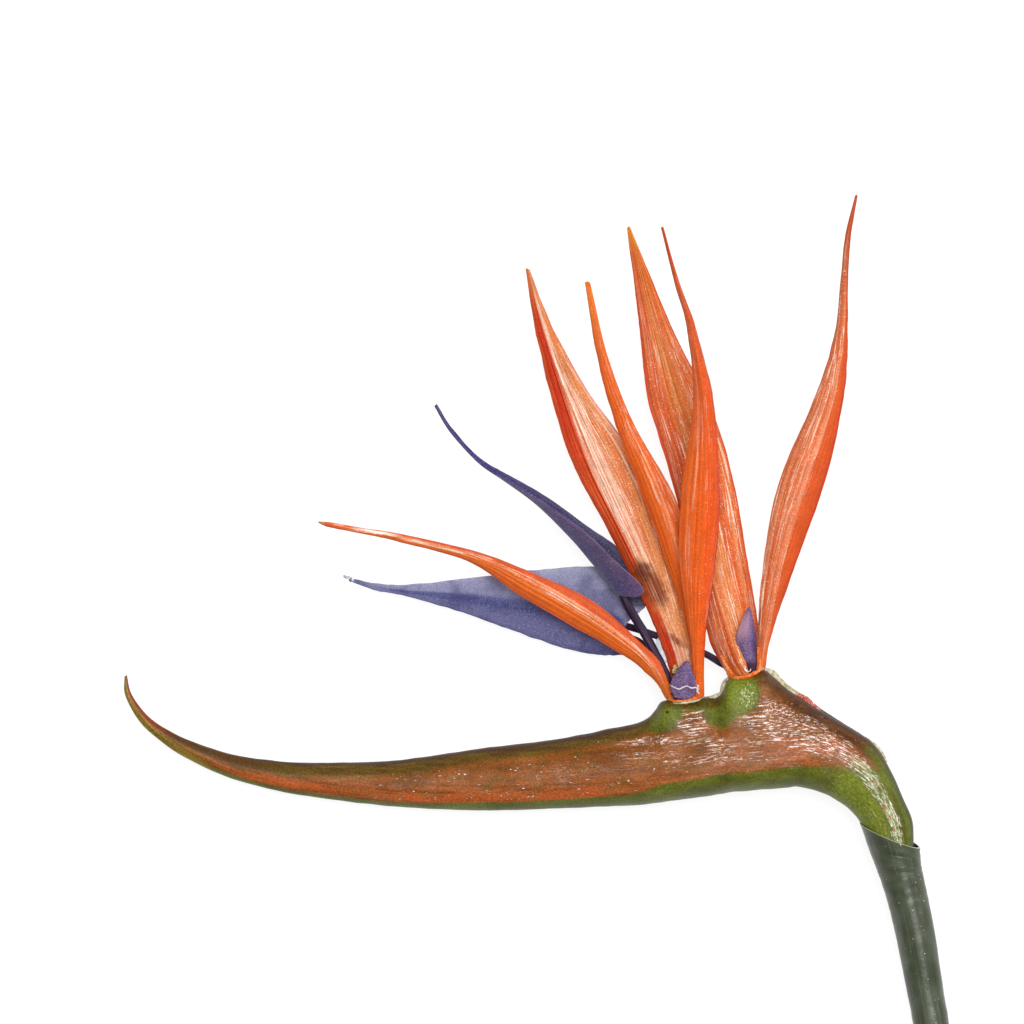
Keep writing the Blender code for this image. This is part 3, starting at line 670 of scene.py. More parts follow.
# middle, half width and half depth of a nectary, from its foot to its point
nectaries = {
    "front_nectary": [((-0.3, 0.2, 6), 2.5, 0.5), ((-0.5, 3, 6.1), 3.5, 0.8), ((-0.4, 5.6, 5.9), 3.4, 0.9),
                      ((-0.1, 8.4, 5.5), 2.1, 0.8), ((0.5, 11.1, 5), 0.4, 0.3)],
    "rear_nectary": [((19.2, 7, 3.4), 0.8, 0.6), ((18, 10.2, 2.8), 2, 1), ((17.3, 13, 2.6), 2.6, 1.2),
                     ((17.1, 17.4, 2.8), 2.9, 1.2), ((17.4, 21.8, 3), 1.8, 0.9),
                     ((17.9, 26.1, 3.2), 0.4, 0.3)],
}
nectaryBuild = {"rows": 60, "sides": 48, "ridge": 0.5, "ends": 12}
nectaryTonesAndShade = [  # the rear one is rosy down its left and dark down its right, with painted shade at its foot
    ((15.6, 21.5, 3.6, 7.0, 0, 0.8), 0.75, (186, 144, 158)),
    ((19.6, 15.0, 1.6, 8.0, 0, 0.9), 0.7, (66, 52, 84)),
    ((18.6, 8.2, 4.2, 3.8, 0, 0.6), 1.0, (70, 50, 64)),
    ((1.6, 4.0, 1.6, 4.0, 0, 0.9), 0.5, (72, 58, 88)),  # the front one is dark down its right
]


def nectaryPoint(rows, s, t):
    close, turn = closing(s, nectaryBuild["ends"]), math.tau * t
    middle = lineAt(vectors(column(rows, 0)), s)
    width, depth = lineAt(column(rows, 1), s), lineAt(column(rows, 2), s)
    ridge = 1 + nectaryBuild["ridge"] * max(0.0, math.sin(turn)) ** 6 * ease(s, 0.1, 0.5)
    return middle + Vector((width * math.cos(turn), 0, depth * math.sin(turn) * ridge)) * close


def nectaryMaterial():
    material = newMaterial("nectary_violet_flock", Roughness=0.65, Specular_IOR_Level=0.25)
    grain = grouped(grainGroup, Size=0.36)
    patch = grouped(grainGroup, Size=2.0)
    colour = ramp(grain["Speck"], tint, (0.3, 84, 69, 101), (0.5, 105, 87, 120), (0.7, 138, 119, 148))
    colour = over(colour, tint(140, 108, 136), between(patch["Speck"], 0.5, 0.7), 0.4)
    colour = toned(ovalsOver(colour, tint, nectaryTonesAndShade), grain["Speck"], 0.85, 1.1)
    return finishMaterial(material, colour, grain["Speck"], 0.6)


makePieces(nectaries, nectaryBuild, nectaryPoint, nectaryMaterial(), "nectary_violet", "_shield")
print("nectaries made:", len(nectaries))

spatheRows = [  # crest point, keel point, half depth, how much narrower the crest side is
    ((-156.6, 6.9), (-157.3, 6.4), 0.4, 0), ((-155.2, 1.4), (-157, 1), 0.8, 0),
    ((-150.6, -4.7), (-152.8, -6.5), 1.1, 0), ((-144.6, -8.8), (-146.6, -12.1), 1.6, 0),
    ((-138.4, -11.7), (-140.6, -16.1), 2, 0), ((-127.8, -15.2), (-129.7, -21.3), 2.7, 0.05),
    ((-117.4, -16.9), (-118.6, -24.6), 3.3, 0.08), ((-106.2, -17.7), (-106.9, -27), 3.9, 0.1),
    ((-81.9, -17.1), (-81.9, -30), 5.3, 0.15), ((-57.4, -13.7), (-57, -31.1), 6.6, 0.2),
    ((-35.6, -11), (-34.6, -30.5), 7.7, 0.22), ((-19.6, -7.8), (-18.5, -29.8), 8.6, 0.24),
    ((-14, -6.7), (-13.4, -29.6), 9, 0.25), ((-10.4, -5.1), (-9.6, -29.2), 9.1, 0.28),
    ((-8.3, -2.9), (-7.2, -28.9), 9.2, 0.32), ((-6, -0.3), (-4.8, -28.5), 9.4, 0.36),
    ((0, -0.2), (0.6, -27.8), 9.7, 0.42), ((5.3, 0.6), (5.8, -27.1), 9.9, 0.4),
    ((8.6, 0.6), (8.8, -26.6), 10, 0.35), ((10.6, 2.4), (10.8, -26.3), 10.1, 0.36),
    ((12.3, 5.8), (12.6, -26), 10.2, 0.4), ((17, 6.6), (17, -25.6), 10.2, 0.42),
    ((22, 8.3), (21, -25.2), 10.2, 0.4), ((24.6, 6.6), (22.6, -25.1), 10.1, 0.34),
    ((28.4, 3.2), (25.6, -24.9), 9.9, 0.28), ((32.5, 0.5), (29, -24.6), 9.7, 0.22),
    ((36.4, -2), (31.8, -24.4), 9.5, 0.2), ((44.8, -7), (37.8, -25.8), 8.6, 0.12),
    ((52.9, -12.3), (42.8, -28.3), 7.9, 0.06), ((58, -20.4), (46.2, -30.8), 7.3, 0),
    ((61, -27.2), (48.2, -33), 6.8, 0), ((63.6, -33.2), (50, -36), 6.5, 0),
    ((64.1, -38), (52.2, -41.6), 5.9, 0), ((64, -43), (54.7, -46), 4.8, 0),
]
spatheBuild = {"rows": 420, "sides": 96, "bossSquare": 2.2, "bodyFrom": (-20.0, -7.8), "bodyTo": (40.0, -4.4)}
bosses = {"front": (0.0, 5.4), "rear": (17.4, 5.6)}  # middle along u, and half width
crestLine, keelLine = vectors(column(spatheRows, 0)), vectors(column(spatheRows, 1))
halfDepths, crestPinches = column(spatheRows, 2), column(spatheRows, 3)


def bossAt(u):
    return max(ease(abs(u - middle), half + 3.0, half - 2.0) for middle, half in bosses.values())


def spatheLie(s, t):
    # crest, keel, and how far up and out round the section, each from -1 to 1
    crest, keel = lineAt(crestLine, s), lineAt(keelLine, s)
    turn = math.tau * (t + 0.5)
    up, front = math.cos(turn), math.sin(turn)
    square = 2.0
    if up > 0:
        square += spatheBuild["bossSquare"] * bossAt(crest.x)
        up += (up ** (2 / square) - up) * ease(up, 0.1, 0.9)
    return crest, keel, up, powered(front, 2 / square)


def spatheSpot(s, t):
    # the section's point in the sheet and its rise from the keel; the bosses lift only its upper part
    crest, keel, up, front = spatheLie(s, t)
    (lowU, lowV), (highU, highV) = spatheBuild["bodyFrom"], spatheBuild["bodyTo"]
    plateau = lowV + (highV - lowV) * (crest.x - lowU) / (highU - lowU)
    lift = max(0.0, crest.y - plateau)
    lift *= ease(crest.x, lowU - 6, lowU + 6) * ease(crest.x, highU + 4, highU - 8)
    body = crest - Vector((0, lift))
    spot = (body + keel) / 2 + (body - keel) / 2 * up + Vector((0, lift * ease(up, -0.2, 1.0)))
    return spot, (spot - keel).length, up, front


def spathePoint(s, t):
    spot, _, up, front = spatheSpot(s, t)
    depth, run = lineAt(halfDepths, s), spatheRun(s)
    out = depth * front * (1 - lineAt(crestPinches, s) * up)
    # soft dents, and an outline that wanders a little
    body = min(1.0, depth / 4)
    out += 0.18 * body * wander(run * 0.16, t * 6, 4.0) * abs(front)
    turn = math.tau * t
    sway = 0.25 * body * wander(run * 0.24, math.cos(turn), math.sin(turn))
    return spot.x, spot.y + sway * up * 0.6, out


def spatheFlow(s, t):
    # how far along, how far up from the keel, and how far out, all in millimetres
    rise, _, front = spatheSpot(s, t)[1:]
    return spatheRun(s), rise, lineAt(halfDepths, s) * front


def runTable(steps=400):
    # length along the middle line up to each step
    lengths = [0.0]
    previous = (crestLine[0] + keelLine[0]) / 2
    for step in range(1, steps + 1):
        spot = (lineAt(crestLine, step / steps) + lineAt(keelLine, step / steps)) / 2
        lengths.append(lengths[-1] + (spot - previous).length)
        previous = spot
    return lengths


runLengths = runTable()


def spatheRun(s):
    at = s * (len(runLengths) - 1)
    low = min(int(at), len(runLengths) - 2)
    return runLengths[low] + (runLengths[low + 1] - runLengths[low]) * (at - low)


# by the length run from the tip: millimetres up from the keel that the green band reaches, and the share of
# the height above which the crest is shaded
greenEdge = [(0, 0.4), (15, 1.1), (41, 0.8), (64, 0.8), (88, 1), (113, 2.1), (135, 2.2), (151, 2.7),
             (157, 3.4), (163, 4.8), (172, 5), (180, 5.6), (189, 5.1), (196, 5.6), (208, 6), (217, 7.2),
             (223, 9.6), (227, 13), (232, 20), (400, 20)]
duskEdge = [(0, 0.75), (20, 0.66), (50, 0.64), (85, 0.74), (112, 0.84), (145, 0.86), (165, 0.9), (182, 1),
            (196, 0.93), (210, 0.85), (222, 0.84), (232, 0.9), (400, 0.9)]
# ovals of paint, each with its u, v, length, width, softness and strength: green on the bosses, painted shade
# between them, less painted shade on each, dry brushing with painted highlight on the slanting shoulder and
# elsewhere, rust and bright green
spatheSpots = {
    "boss": [(-7.6, -3.6, 7.0, 5.6, 0.4, 1.0), (1.4, -0.8, 8.0, 2.4, 0.5, 0.8),
             (14.8, 2.0, 6.4, 6.4, 0.4, 1.0), (9.8, -3.2, 5.0, 4.6, 0.5, 0.9)],
    "gap": [(8.6, -2.6, 3.4, 5.0, 0.6, 0.3)],
    "rearLight": [(15.4, 3.0, 5.4, 6.6, 0.4, 0.8)],
    "frontLight": [(-5.4, -3.6, 9.0, 5.2, 0.5, 0.6)],
    "shoulder": [(31.0, -7.6, 19.0, 5.8, 0.45, 1.0)],
    "brushAndHighlight": [(2.0, -5.0, 6.0, 4.4, 0.45, 0.95), (-4.0, -11.4, 26.0, 2.0, 0.5, 0.6),
              (4.0, -15.4, 30.0, 3.0, 0.5, 0.42)],
    "rust": [(34.0, -14.0, 14.0, 5.0, 0.5, 0.8)],
    "glow": [(15.4, 2.4, 5.0, 6.4, 0.6, 0.8), (-7.0, -4.0, 6.0, 4.0, 0.6, 0.5)],
}


def stepped(pairs, value):  # the height of a line through the pairs
    for (low, a), (high, b) in zip(pairs, pairs[1:]):
        if value <= high:
            return a + (b - a) * ease(value, low, high)
    return pairs[-1][1]


def spotted(kind, u, v):  # the strongest of the ovals here, each fading to 0 outside it
    return max(
        strength * ease(math.hypot((u - middleU) / long, (v - middleV) / wide), 1.0 + soft, 1.0 - soft)
        for middleU, middleV, long, wide, soft, strength in spatheSpots[kind]
    )


def spathePaint(s, t):
    # share of green, of dry white brushing with painted highlight, and of the painted shade along the crest,
    # from the height above the keel, in millimetres and as a share of the whole height, and from the length
    # run from the tip
    u, v = spathePoint(s, t)[:2]
    rise, up = spatheSpot(s, t)[1:3]
    up, run = (up + 1) / 2, spatheRun(s)
    edge, dark = stepped(greenEdge, run), stepped(duskEdge, run)
    soft = 1.0 + 4.0 * ease(run, 208, 222)
    green = ease(rise, edge + 1.6 * soft, edge - soft)
    boss = spotted("boss", u, v)
    strip = 0.45 * ease(abs(up - 0.64), 0.14, 0.03) * ease(run, 26, 44) * ease(run, 104, 76)
    dusk = max(ease(up, dark - 0.24, dark + 0.14), spotted("gap", u, v))
    dusk += 0.7 * ease(up, 0.86, 0.97) * ease(run, 30, 50)
    dusk *= (1 - spotted("rearLight", u, v)) * (1 - spotted("frontLight", u, v))
    brushAndHighlight = max(spotted("shoulder", u, v + 0.3 * (u - 31)), spotted("brushAndHighlight", u, v))
    brushAndHighlight *= (1 - 0.9 * max(green, boss)) * (1 - 0.85 * min(dusk, 1.0))
    # a painted highlight down the middle of the neck
    neckHighlight = ease(abs(up - 0.62), 0.17, 0.04) * ease(run, 210, 224)
    brushAndHighlight = max(brushAndHighlight, 1.6 * neckHighlight, 0.22 * ease(run, 60, 90) * ease(abs(up - 0.45), 0.4, 0.2))
    return max(green, boss, strip), brushAndHighlight, dusk


def spatheTone(s, t):
    # share of rusty red, of the bright green on the bosses and in the neck, and of pale yellow at the tip
    u, v = spathePoint(s, t)[:2]
    up = (spatheLie(s, t)[2] + 1) / 2
    run = spatheRun(s)
    rust = ease(up, 0.06, 0.16) * ease(up, 0.62, 0.2) * ease(run, 24, 50)
    rust *= ease(run, 150, 120) + 0.6 * ease(run, 120, 150)
    rust = max(rust, spotted("rust", u, v), 1.2 * ease(up, 0.8, 0.97) * ease(run, 34, 18))
    ember = ease(abs(up - 0.3), 0.26, 0.06) * ease(abs(run - 60), 34, 10)
    ember = max(ember, ease(abs(up - 0.2), 0.16, 0.05) * ease(abs(run - 118), 44, 24))
    rust = max(rust, 1.75 * ember)
    glow = max(spotted("glow", u, v), 0.85 * ease(run, 208, 226) * ease(up, 0.62, 0.36))
    return rust, glow, 0.8 * ease(run, 58, 14) * ease(up, 0.85, 0.4)


def spatheMaterial():
    material = newMaterial("spathe_brushed_paint", Roughness=0.42, Specular_IOR_Level=0.2)
    marks = (add("ShaderNodeAttribute", attribute_name=mark) for mark in ("flow", "paint", "tone"))
    flow, paint, tone = (mark.outputs["Vector"] for mark in marks)
    greenShare, brushAndHighlight, dusk = partsOf(paint)[:3]
    rust, glow, pale = partsOf(tone)[:3]
    brush = drawnOut(flow, (0.06, 0.8, 0.8), detail=4.0, rough=0.65)
    cloud = drawnOut(flow, (0.09, 0.22, 0.22), (9, 0, 0), rough=0.6)
    fine = drawnOut(flow, (0.9, 2.0, 2.0), (2, 4, 0), rough=0.7)
    patch = drawnOut(flow, (0.16, 0.4, 0.4), (4, 2, 6), rough=0.6)
    grain = grouped(grainGroup, Size=0.5)

    def spread(share, reach):  # a share of paint with a brushed, speckled edge
        rough = maths("ADD", times(brush, 0.55), times(fine, 0.45))
        moved = maths("ADD", share, maths("MULTIPLY_ADD", rough, reach, -0.5 * reach))
        return between(moved, 0.28, 0.72)

    def brushed(dark, light):
        return ramp(brush, paintTint, (0.35, *dark), (0.65, *light))

    # red-brown paint, rusty and mossy in places
    brown = ramp(cloud, paintTint, (0.3, 106, 68, 38), (0.5, 132, 80, 46), (0.7, 148, 92, 56))
    rusty = ramp(brush, paintTint, (0.3, 124, 72, 42), (0.5, 148, 86, 52), (0.7, 170, 98, 62))
    brown = over(brown, rusty, spread(rust, 1.8), 0.8)
    brown = over(brown, paintTint(92, 62, 34), between(brush, 0.48, 0.3), 0.5)
    ember = between(maths("MULTIPLY_ADD", brush, 2.0, rust), 1.9, 3.1)
    brown = over(brown, paintTint(178, 88, 52), ember, 0.6)
    brown = over(brown, paintTint(104, 84, 42), between(patch, 0.52, 0.66), 0.45)
    # green along the keel and on the bosses
    green = ramp(cloud, paintTint, (0.3, 80, 80, 38), (0.5, 92, 96, 46), (0.7, 104, 110, 54))
    bright = ramp(fine, paintTint, (0.35, 96, 106, 44), (0.6, 118, 126, 54))
    green = over(green, bright, spread(glow, 0.7))
    # the painted shade along the crest: olive, umber behind the rear cup, moss down the neck, redder at the
    # tip, darkest at the very crest
    side = partsOf(sheetAt())[0]
    shade = brushed((72, 60, 30), (98, 84, 44))
    for low, high, paint in (
        (16.0, 28.0, brushed((70, 48, 28), (96, 66, 38))),
        (48.0, 54.0, brushed((76, 86, 36), (106, 116, 54))),
        (-104.0, -130.0, paintTint(78, 60, 22)),
        (-142.0, -150.0, paintTint(128, 60, 38)),
    ):
        shade = over(shade, paint, between(side, low, high))
    shade = over(shade, paintTint(56, 40, 22), between(dusk, 1.1, 1.8, 0.0, 0.8))
    colour = over(brown, green, spread(greenShare, 1.3))
    colour = over(colour, brushed((112, 94, 44), (152, 122, 62)), spread(pale, 1.0))
    colour = over(colour, shade, spread(dusk, 1.1), 0.88)
    # dry brush marks with painted highlight: thin lines along the flow, broken into dashes that come in
    # clumps, and a pale green band of painted highlight down the neck
    lines = drawnOut(flow, (0.1, 3.0, 3.0), (3, 5, 0), rough=0.7, warp=0.12)
    dashes = drawnOut(flow, (0.45, 2.4, 2.4), (5, 1, 0), rough=0.7, warp=0.1)
    clumps = drawnOut(flow, (0.12, 0.34, 0.34), (1, 7, 0), 2.0)
    dry = times(between(lines, 0.49, 0.57), between(dashes, 0.445, 0.545))
    share = between(maths("MULTIPLY_ADD", clumps, 1.2, brushAndHighlight), 0.75, 1.4)
    neckHighlightDashes = times(between(brushAndHighlight, 0.9, 1.5), between(dashes, 0.36, 0.62))
    colour = over(colour, paintTint(168, 174, 134), neckHighlightDashes, 0.9)
    white = over(paintTint(240, 224, 216), paintTint(196, 200, 176), between(brushAndHighlight, 1.0, 1.3))
    colour = over(colour, white, dry, share, between(brushAndHighlight, 0.02, 0.5))
    # white dots on the brown, a painted highlight and a pin hole painted dark on the bosses, red flecks in
    # the neck
    dots = between(drawnOut(flow, (0.7, 2.7, 2.7), (6, 3, 1), 1.0), 0.71, 0.75)
    bare = times(between(brushAndHighlight, 0.0, 0.2), between(patch, 0.42, 0.54))
    colour = over(colour, paintTint(240, 226, 214), dots, bare, between(greenShare, 0.6, 0.1, 0.15, 0.9))
    lit = drawnOut(sheetAt(), (2.0, 1.2, 1.2), rough=0.6)
    # a painted highlight on the rear boss
    bossHighlight = spotAt(17.6, 1.2, 3.0, 4.6, 0, 0.8)
    colour = over(colour, paintTint(222, 224, 186), bossHighlight, between(lit, 0.52, 0.64))
    # painted shade inside the pin hole
    colour = over(colour, paintTint(40, 34, 20), spotAt(-5.0, -3.4, 0.55, 0.45, 0, 0.5))
    flecks = between(drawnOut(flow, (0.5, 1.3, 1.3), (1, 8, 3), 1.0), 0.66, 0.7)
    colour = over(colour, paintTint(166, 84, 62), flecks, between(brushAndHighlight, 0.9, 1.4))
    colour = toned(colour, grain["Speck"], 0.62, 1.33)
    return finishMaterial(material, colour, maths("MULTIPLY_ADD", grain["Speck"], 0.5, brush), 0.5, 0.3)


marks = {"flow": spatheFlow, "paint": spathePaint, "tone": spatheTone}
spathePiece = gridPiece("spathe_shell", spatheBuild, spathePoint, marks=marks)
finishPiece(spathePiece, spatheMaterial(), "spathe_paint", "spathe")
print("spathe made:", len(spathePiece.data.polygons), "faces")

# the orange cup that each flower stands in: its rim's u and v, its lean in degrees, its radius, how much it
# flares and sags, and how high its lip stands in front and behind
cups = {
    "front_floret_base": {"rim": (0.0, 0.4), "lean": 7.5, "radius": 5.15, "flare": 0.3, "sag": 0.75,
                          "front": -0.05, "back": 6.0},
    "rear_floret_base": {"rim": (17.0, 7.6), "lean": 15.0, "radius": 5.1, "flare": 0.5, "sag": 1.25,
                         "front": -0.5, "back": 6.5},
}
cupBuild = {"rows": 60, "sides": 96, "wall": 0.9, "depth": 4.0, "floor": 0.3, "lipAt": 0.6, "insideAt": 0.66}


def cupSpot(cup, turn, height, radius):
    # a point of a cup, with turn 90 degrees facing out of the sheet
    lean = math.radians(cup["lean"])
    axis = Vector((-math.sin(lean), math.cos(lean), 0))
    side = Vector((math.cos(lean), math.sin(lean), 0)) * radius * math.cos(turn)
    sag = cup["sag"] * max(0.0, math.sin(turn))
    return Vector((*cup["rim"], 0)) + axis * (height - sag) + Vector((0, 0, radius * math.sin(turn))) + side


def cupPoint(cup, s, t):
    # up the outside from inside the socket to the lip, down the inside and over the floor
    turn = math.tau * t
    across, out = math.cos(turn), math.sin(turn)
    lip = cup["back"] + (cup["front"] + cup["sag"] - cup["back"]) * ease(out, 0.1, 0.8)
    lip += 0.35 * wander(across * 4, out * 4, cup["lean"]) + 0.3 * wander(across * 16, out * 16, cup["lean"])
    depth, floor, wall = cupBuild["depth"], cupBuild["floor"], cupBuild["wall"]
    lipAt, insideAt = cupBuild["lipAt"], cupBuild["insideAt"]
    if s < lipAt:
        height, inset = -depth + (lip + depth) * s / lipAt, 0.0
    elif s < insideAt:
        height, inset = lip, wall * (s - lipAt) / (insideAt - lipAt)
    else:
        height, inset = lip + (floor - lip) * min((s - insideAt) / 0.24, 1.0), wall
    radius = cup["radius"] - inset - 0.7 * ease(height, 0.0, -0.5) + cup["flare"] * max(height, 0) / 5
    radius *= min(1.0, (1 - s) / 0.1)
    return cupSpot(cup, turn, height, radius + 0.1 * wander(across * 3, out * 3, height * 0.5))


def cupMaterial():
    material = newMaterial("cup_orange", Roughness=0.4, Specular_IOR_Level=0.22)
    along, across = partsOf(uvAt())[:2]
    streaks = grouped(streakGroup, Along=along, Across=across, Seed=31.0)
    grain = grouped(grainGroup, Size=0.5)
    patch = grouped(grainGroup, Size=2.4)
    colour = ramp(patch["Speck"], tint, (0.35, 214, 102, 54), (0.5, 230, 128, 74), (0.68, 234, 156, 100))
    dark = times(between(streaks["Veins"], 0.5, 0.38), 0.6)
    colour = mix(dark, colour, (0.8, 0.5, 0.36, 1.0), "MULTIPLY")
    rosy = ramp(grain["Speck"], tint, (0.35, 176, 84, 46), (0.6, 226, 146, 90))
    colour = over(colour, rosy, between(along, 0.62, 0.68))
    # the inside of the cup, down to its floor, in painted shade
    colour = over(colour, tint(104, 44, 32), between(along, 0.74, 0.86))
    colour = toned(colour, grain["Speck"], 0.72, 1.22)
    height = maths("MULTIPLY_ADD", grain["Speck"], 0.5, patch["Speck"])
    return finishMaterial(material, colour, height, 0.5, 0.3)


makePieces(cups, cupBuild, cupPoint, cupMaterial(), "sepal_orange", "_cup")
print("cups made:", len(cups))

# where the two halves of the spathe were joined the paint missed a raised, ragged seam: u and v of its two
# edges, how far out its middle lies and half its thickness
seams = {
    "crest_seam": {
        "out": -1.1, "half": 0.9,
        "far": [(22.3, 9.2), (25.1, 8.2), (27.9, 5.2), (31.5, 2.4), (34.6, 0.7), (37.5, -2), (44.4, -6.5),
                (50.4, -10.2), (53.8, -12.5), (55.7, -14.9), (56.9, -17.4)],
        "near": [(21.6, 8), (24, 6.4), (26.5, 4), (29.6, 1.6), (32.6, -0.4), (36, -2.8), (43.4, -7.6),
                 (49.4, -11.3), (52.6, -13.6), (54.4, -15.6), (55.9, -17.8)],
    },
    "boss_seam": {
        "out": 0.3, "half": 0.8,
        "far": [(5.6, 0.9), (7.4, 1.2), (8.6, 1.7), (9.7, 2.2), (10, 3.6), (10.6, 5.2), (12.1, 6.5)],
        "near": [(5.8, 0), (7.8, 0), (9.4, 0.4), (10.9, 1.4), (11.4, 3.2), (12, 4.6), (13, 5.6)],
    },
}
seamBuild = {"rows": 220, "sides": 20, "ragged": 0.14, "ends": 20}
socketRim = {"rows": 120, "sides": 12, "gap": 0.05, "thickness": 0.4, "uneven": 0.24, "below": 0.4}


def seamPoint(seam, s, t):
    near, far = (lineAt(vectors(seam[edge]), s) for edge in ("near", "far"))
    turn = math.tau * t
    reach = (math.cos(turn) + 1) / 2
    ragged = seamBuild["ragged"] * (wander(s * 34, 7.0) + 0.6 * wander(s * 110, 9.0)) * reach
    spot = near.lerp(far, reach) + (far - near).normalized() * ragged
    bulge = powered(math.sin(turn), 0.6) * closing(s, seamBuild["ends"])
    return spot.x, spot.y, seam["out"] + seam["half"] * bulge


def rimPoint(s, t):  # a bare line round the front socket
    cup, turn, ring = cups["front_floret_base"], math.tau * s, math.tau * t
    thick = socketRim["thickness"] + socketRim["uneven"] * wander(math.cos(turn) * 6, math.sin(turn) * 6)
    radius = cup["radius"] + socketRim["gap"] + thick * math.cos(ring)
    return cupSpot(cup, turn, 0.8 * thick * math.sin(ring) - socketRim["below"], radius)


def seamMaterial():
    material = newMaterial("seam_bare_plastic", Roughness=0.5, Specular_IOR_Level=0.3)
    sheet = sheetAt()
    cloud = noiseAt(sheet, 0.9, 3.0, 0.6)
    fine = noiseAt(sheet, 3.0, 2.0, 0.6)
    colour = ramp(cloud, tint, (0.32, 132, 128, 86), (0.45, 174, 170, 136), (0.62, 208, 204, 182))
    colour = over(colour, tint(120, 84, 56), between(fine, 0.6, 0.7))
    # a smear of red, and dark paint past it
    smear = spotAt(34.9, -0.5, 5.6, 1.7, -36, 0.4, 1.2)
    colour = over(colour, tint(172, 50, 44), smear, between(fine, 0.4, 0.48))
    colour = over(colour, tint(70, 72, 42), spotAt(44.6, -7.0, 9.0, 2.4, -33, 0.3))
    return finishMaterial(material, colour, cloud, 0.6, 0.3)


barePlastic = seamMaterial()
makePieces(seams, seamBuild, seamPoint, barePlastic, "spathe_paint", shown=False)
finishPiece(gridPiece("front_socket_rim", socketRim, rimPoint), barePlastic, "spathe_paint")
print("seams made:", len(seams) + 1)

# threads of set glue over the nectaries and a thread at the tongue's tip, crumbs of old foam, and a scrap of
# clear film behind the stalks
glue = {  # radius, and the line of its middle
    "glue_thread": (0.2, [(-4.3, 4.3, 6), (-3.1, 3.6, 6.9), (-1.7, 3.1, 7.3), (-0.6, 3.6, 7.4),
                          (0.6, 3.9, 7.3), (1.7, 3.4, 7), (3.1, 3.5, 6.2), (4, 3, 5.4)]),
    "glue_drip": (0.34, [(3.4, 4.4, 5.6), (3.6, 3.5, 6), (3.4, 2.7, 5.9), (3.9, 1.6, 5.3)]),
    "glue_curl": (0.15, [(16.5, 9.8, 4.9), (16.8, 9.2, 5), (17, 8.5, 5.1), (17.6, 8, 5.2), (18.2, 8.2, 5.1),
                         (18.4, 8.8, 4.9)]),
    "glue_tail": (0.13, [(16.2, 9.5, 5), (16.5, 9, 5.1), (16.9, 8.3, 5.2), (17.4, 7.7, 5.3)]),
    "tongue_thread": (0.42, [(-92.6, 33.3, -2.9), (-93.6, 33.7, -2.9), (-94.4, 34.3, -2.9),
                             (-95, 34.3, -2.9), (-95.8, 34.8, -2.9)]),
}
crumbs = {  # middle
    "foam_crumb_high": (-2.7, 9.2, 1.8),
    "foam_crumb_low": (-3.0, 8.0, 1.8),
    "tongue_knot": (-93.7, 33.6, -2.9),
}
film = {
    "rows": 24, "sides": 12, "out": -1.9, "thickness": 0.12,
    "corners": [(-10.0, 15.2), (-7.0, 9.2), (-4.6, 10.6), (-7.4, 17.4)],
}
glueBuild = {
    "rows": 60, "sides": 12, "crumbSize": 0.8, "crumbCuts": 4, "violetFrom": -20.0, "violetTo": -30.0,
}


def threadPoint(thread, s, t):  # a drawn thread, thinner at its ends
    radius, points = thread
    ends = ease(s, 0.0, 0.1) * ease(s, 1.0, 0.9)
    return tubePoint(points, radius * (0.3 + 0.7 * ends) * (1 + 0.4 * wander(s * 9, radius * 50)), s, t)


def atTongue():  # 0 at the nectaries, 1 at the lower tongue's tip
    return between(partsOf(sheetAt())[0], glueBuild["violetFrom"], glueBuild["violetTo"])


def glueMaterial():
    material = newMaterial("glue_set_white", Roughness=0.3, Specular_IOR_Level=0.5)
    cloud = noiseAt(sheetAt(), 1.2, 3.0)
    colour = ramp(cloud, tint, (0.35, 184, 166, 172), (0.65, 222, 210, 212))
    violet = ramp(cloud, tint, (0.4, 150, 146, 164), (0.6, 206, 204, 212))
    return finishMaterial(material, over(colour, violet, atTongue()), cloud, 0.4)


def crumbMaterial():
    material = newMaterial("foam_crumb_yellow", Roughness=0.8, Specular_IOR_Level=0.2)
    cloud = noiseAt(sheetAt(), 1.6, 3.0, 0.7)
    colour = ramp(cloud, tint, (0.35, 140, 112, 62), (0.5, 190, 170, 106), (0.65, 226, 216, 176))
    return finishMaterial(material, over(colour, tint(134, 112, 126), atTongue()), cloud, 0.8, 0.4)


def filmMaterial():
    material = newMaterial("film_clear_grey", Roughness=0.25, Specular_IOR_Level=0.5)
    cloud = noiseAt(sheetAt(), 0.8, 3.0, 0.6)
    colour = ramp(cloud, tint, (0.35, 150, 158, 168), (0.65, 206, 212, 218))
    return finishMaterial(material, colour, Alpha=between(cloud, 0.3, 0.7, 0.25, 0.6))


def makeCrumbs():
    material = crumbMaterial()
    size = glueBuild["crumbSize"]
    for name, spot in crumbs.items():
        deselectAll()
        middle = place(*spot)
        bpy.ops.mesh.primitive_ico_sphere_add(
            subdivisions=glueBuild["crumbCuts"], radius=size * mm, location=middle
        )
        bpy.ops.object.transform_apply(location=True, rotation=True, scale=True)
        piece = bpy.context.object
        piece.name = piece.data.name = name
        for vertex in piece.data.vertices:
            way = (vertex.co - middle).normalized()
            lump = 0.72 + 0.5 * wander(*(way * 1.6 + middle / mm)) + 0.16 * wander(*(way * 5 + middle / mm))
            vertex.co = middle + way * size * mm * lump
        bpy.ops.object.shade_smooth()
        finishPiece(piece, material)


def filmPoint(s, t):
    a, b, c, d = vectors(film["corners"])
    spot = a.lerp(b, s).lerp(d.lerp(c, s), t)
    return spot.x + 0.3 * wander(s * 4, t * 3), spot.y, film["out"] + 0.3 * wander(s * 3, t * 3, 5.0)


makePieces(glue, glueBuild, threadPoint, glueMaterial(), shown=False)
makeCrumbs()
filmPiece = gridPiece("film_scrap", film, filmPoint, wraps=False)
thicken(filmPiece, film["thickness"])
finishPiece(filmPiece, filmMaterial())
print("glue and scraps made:", len(glue) + len(crumbs) + 1)

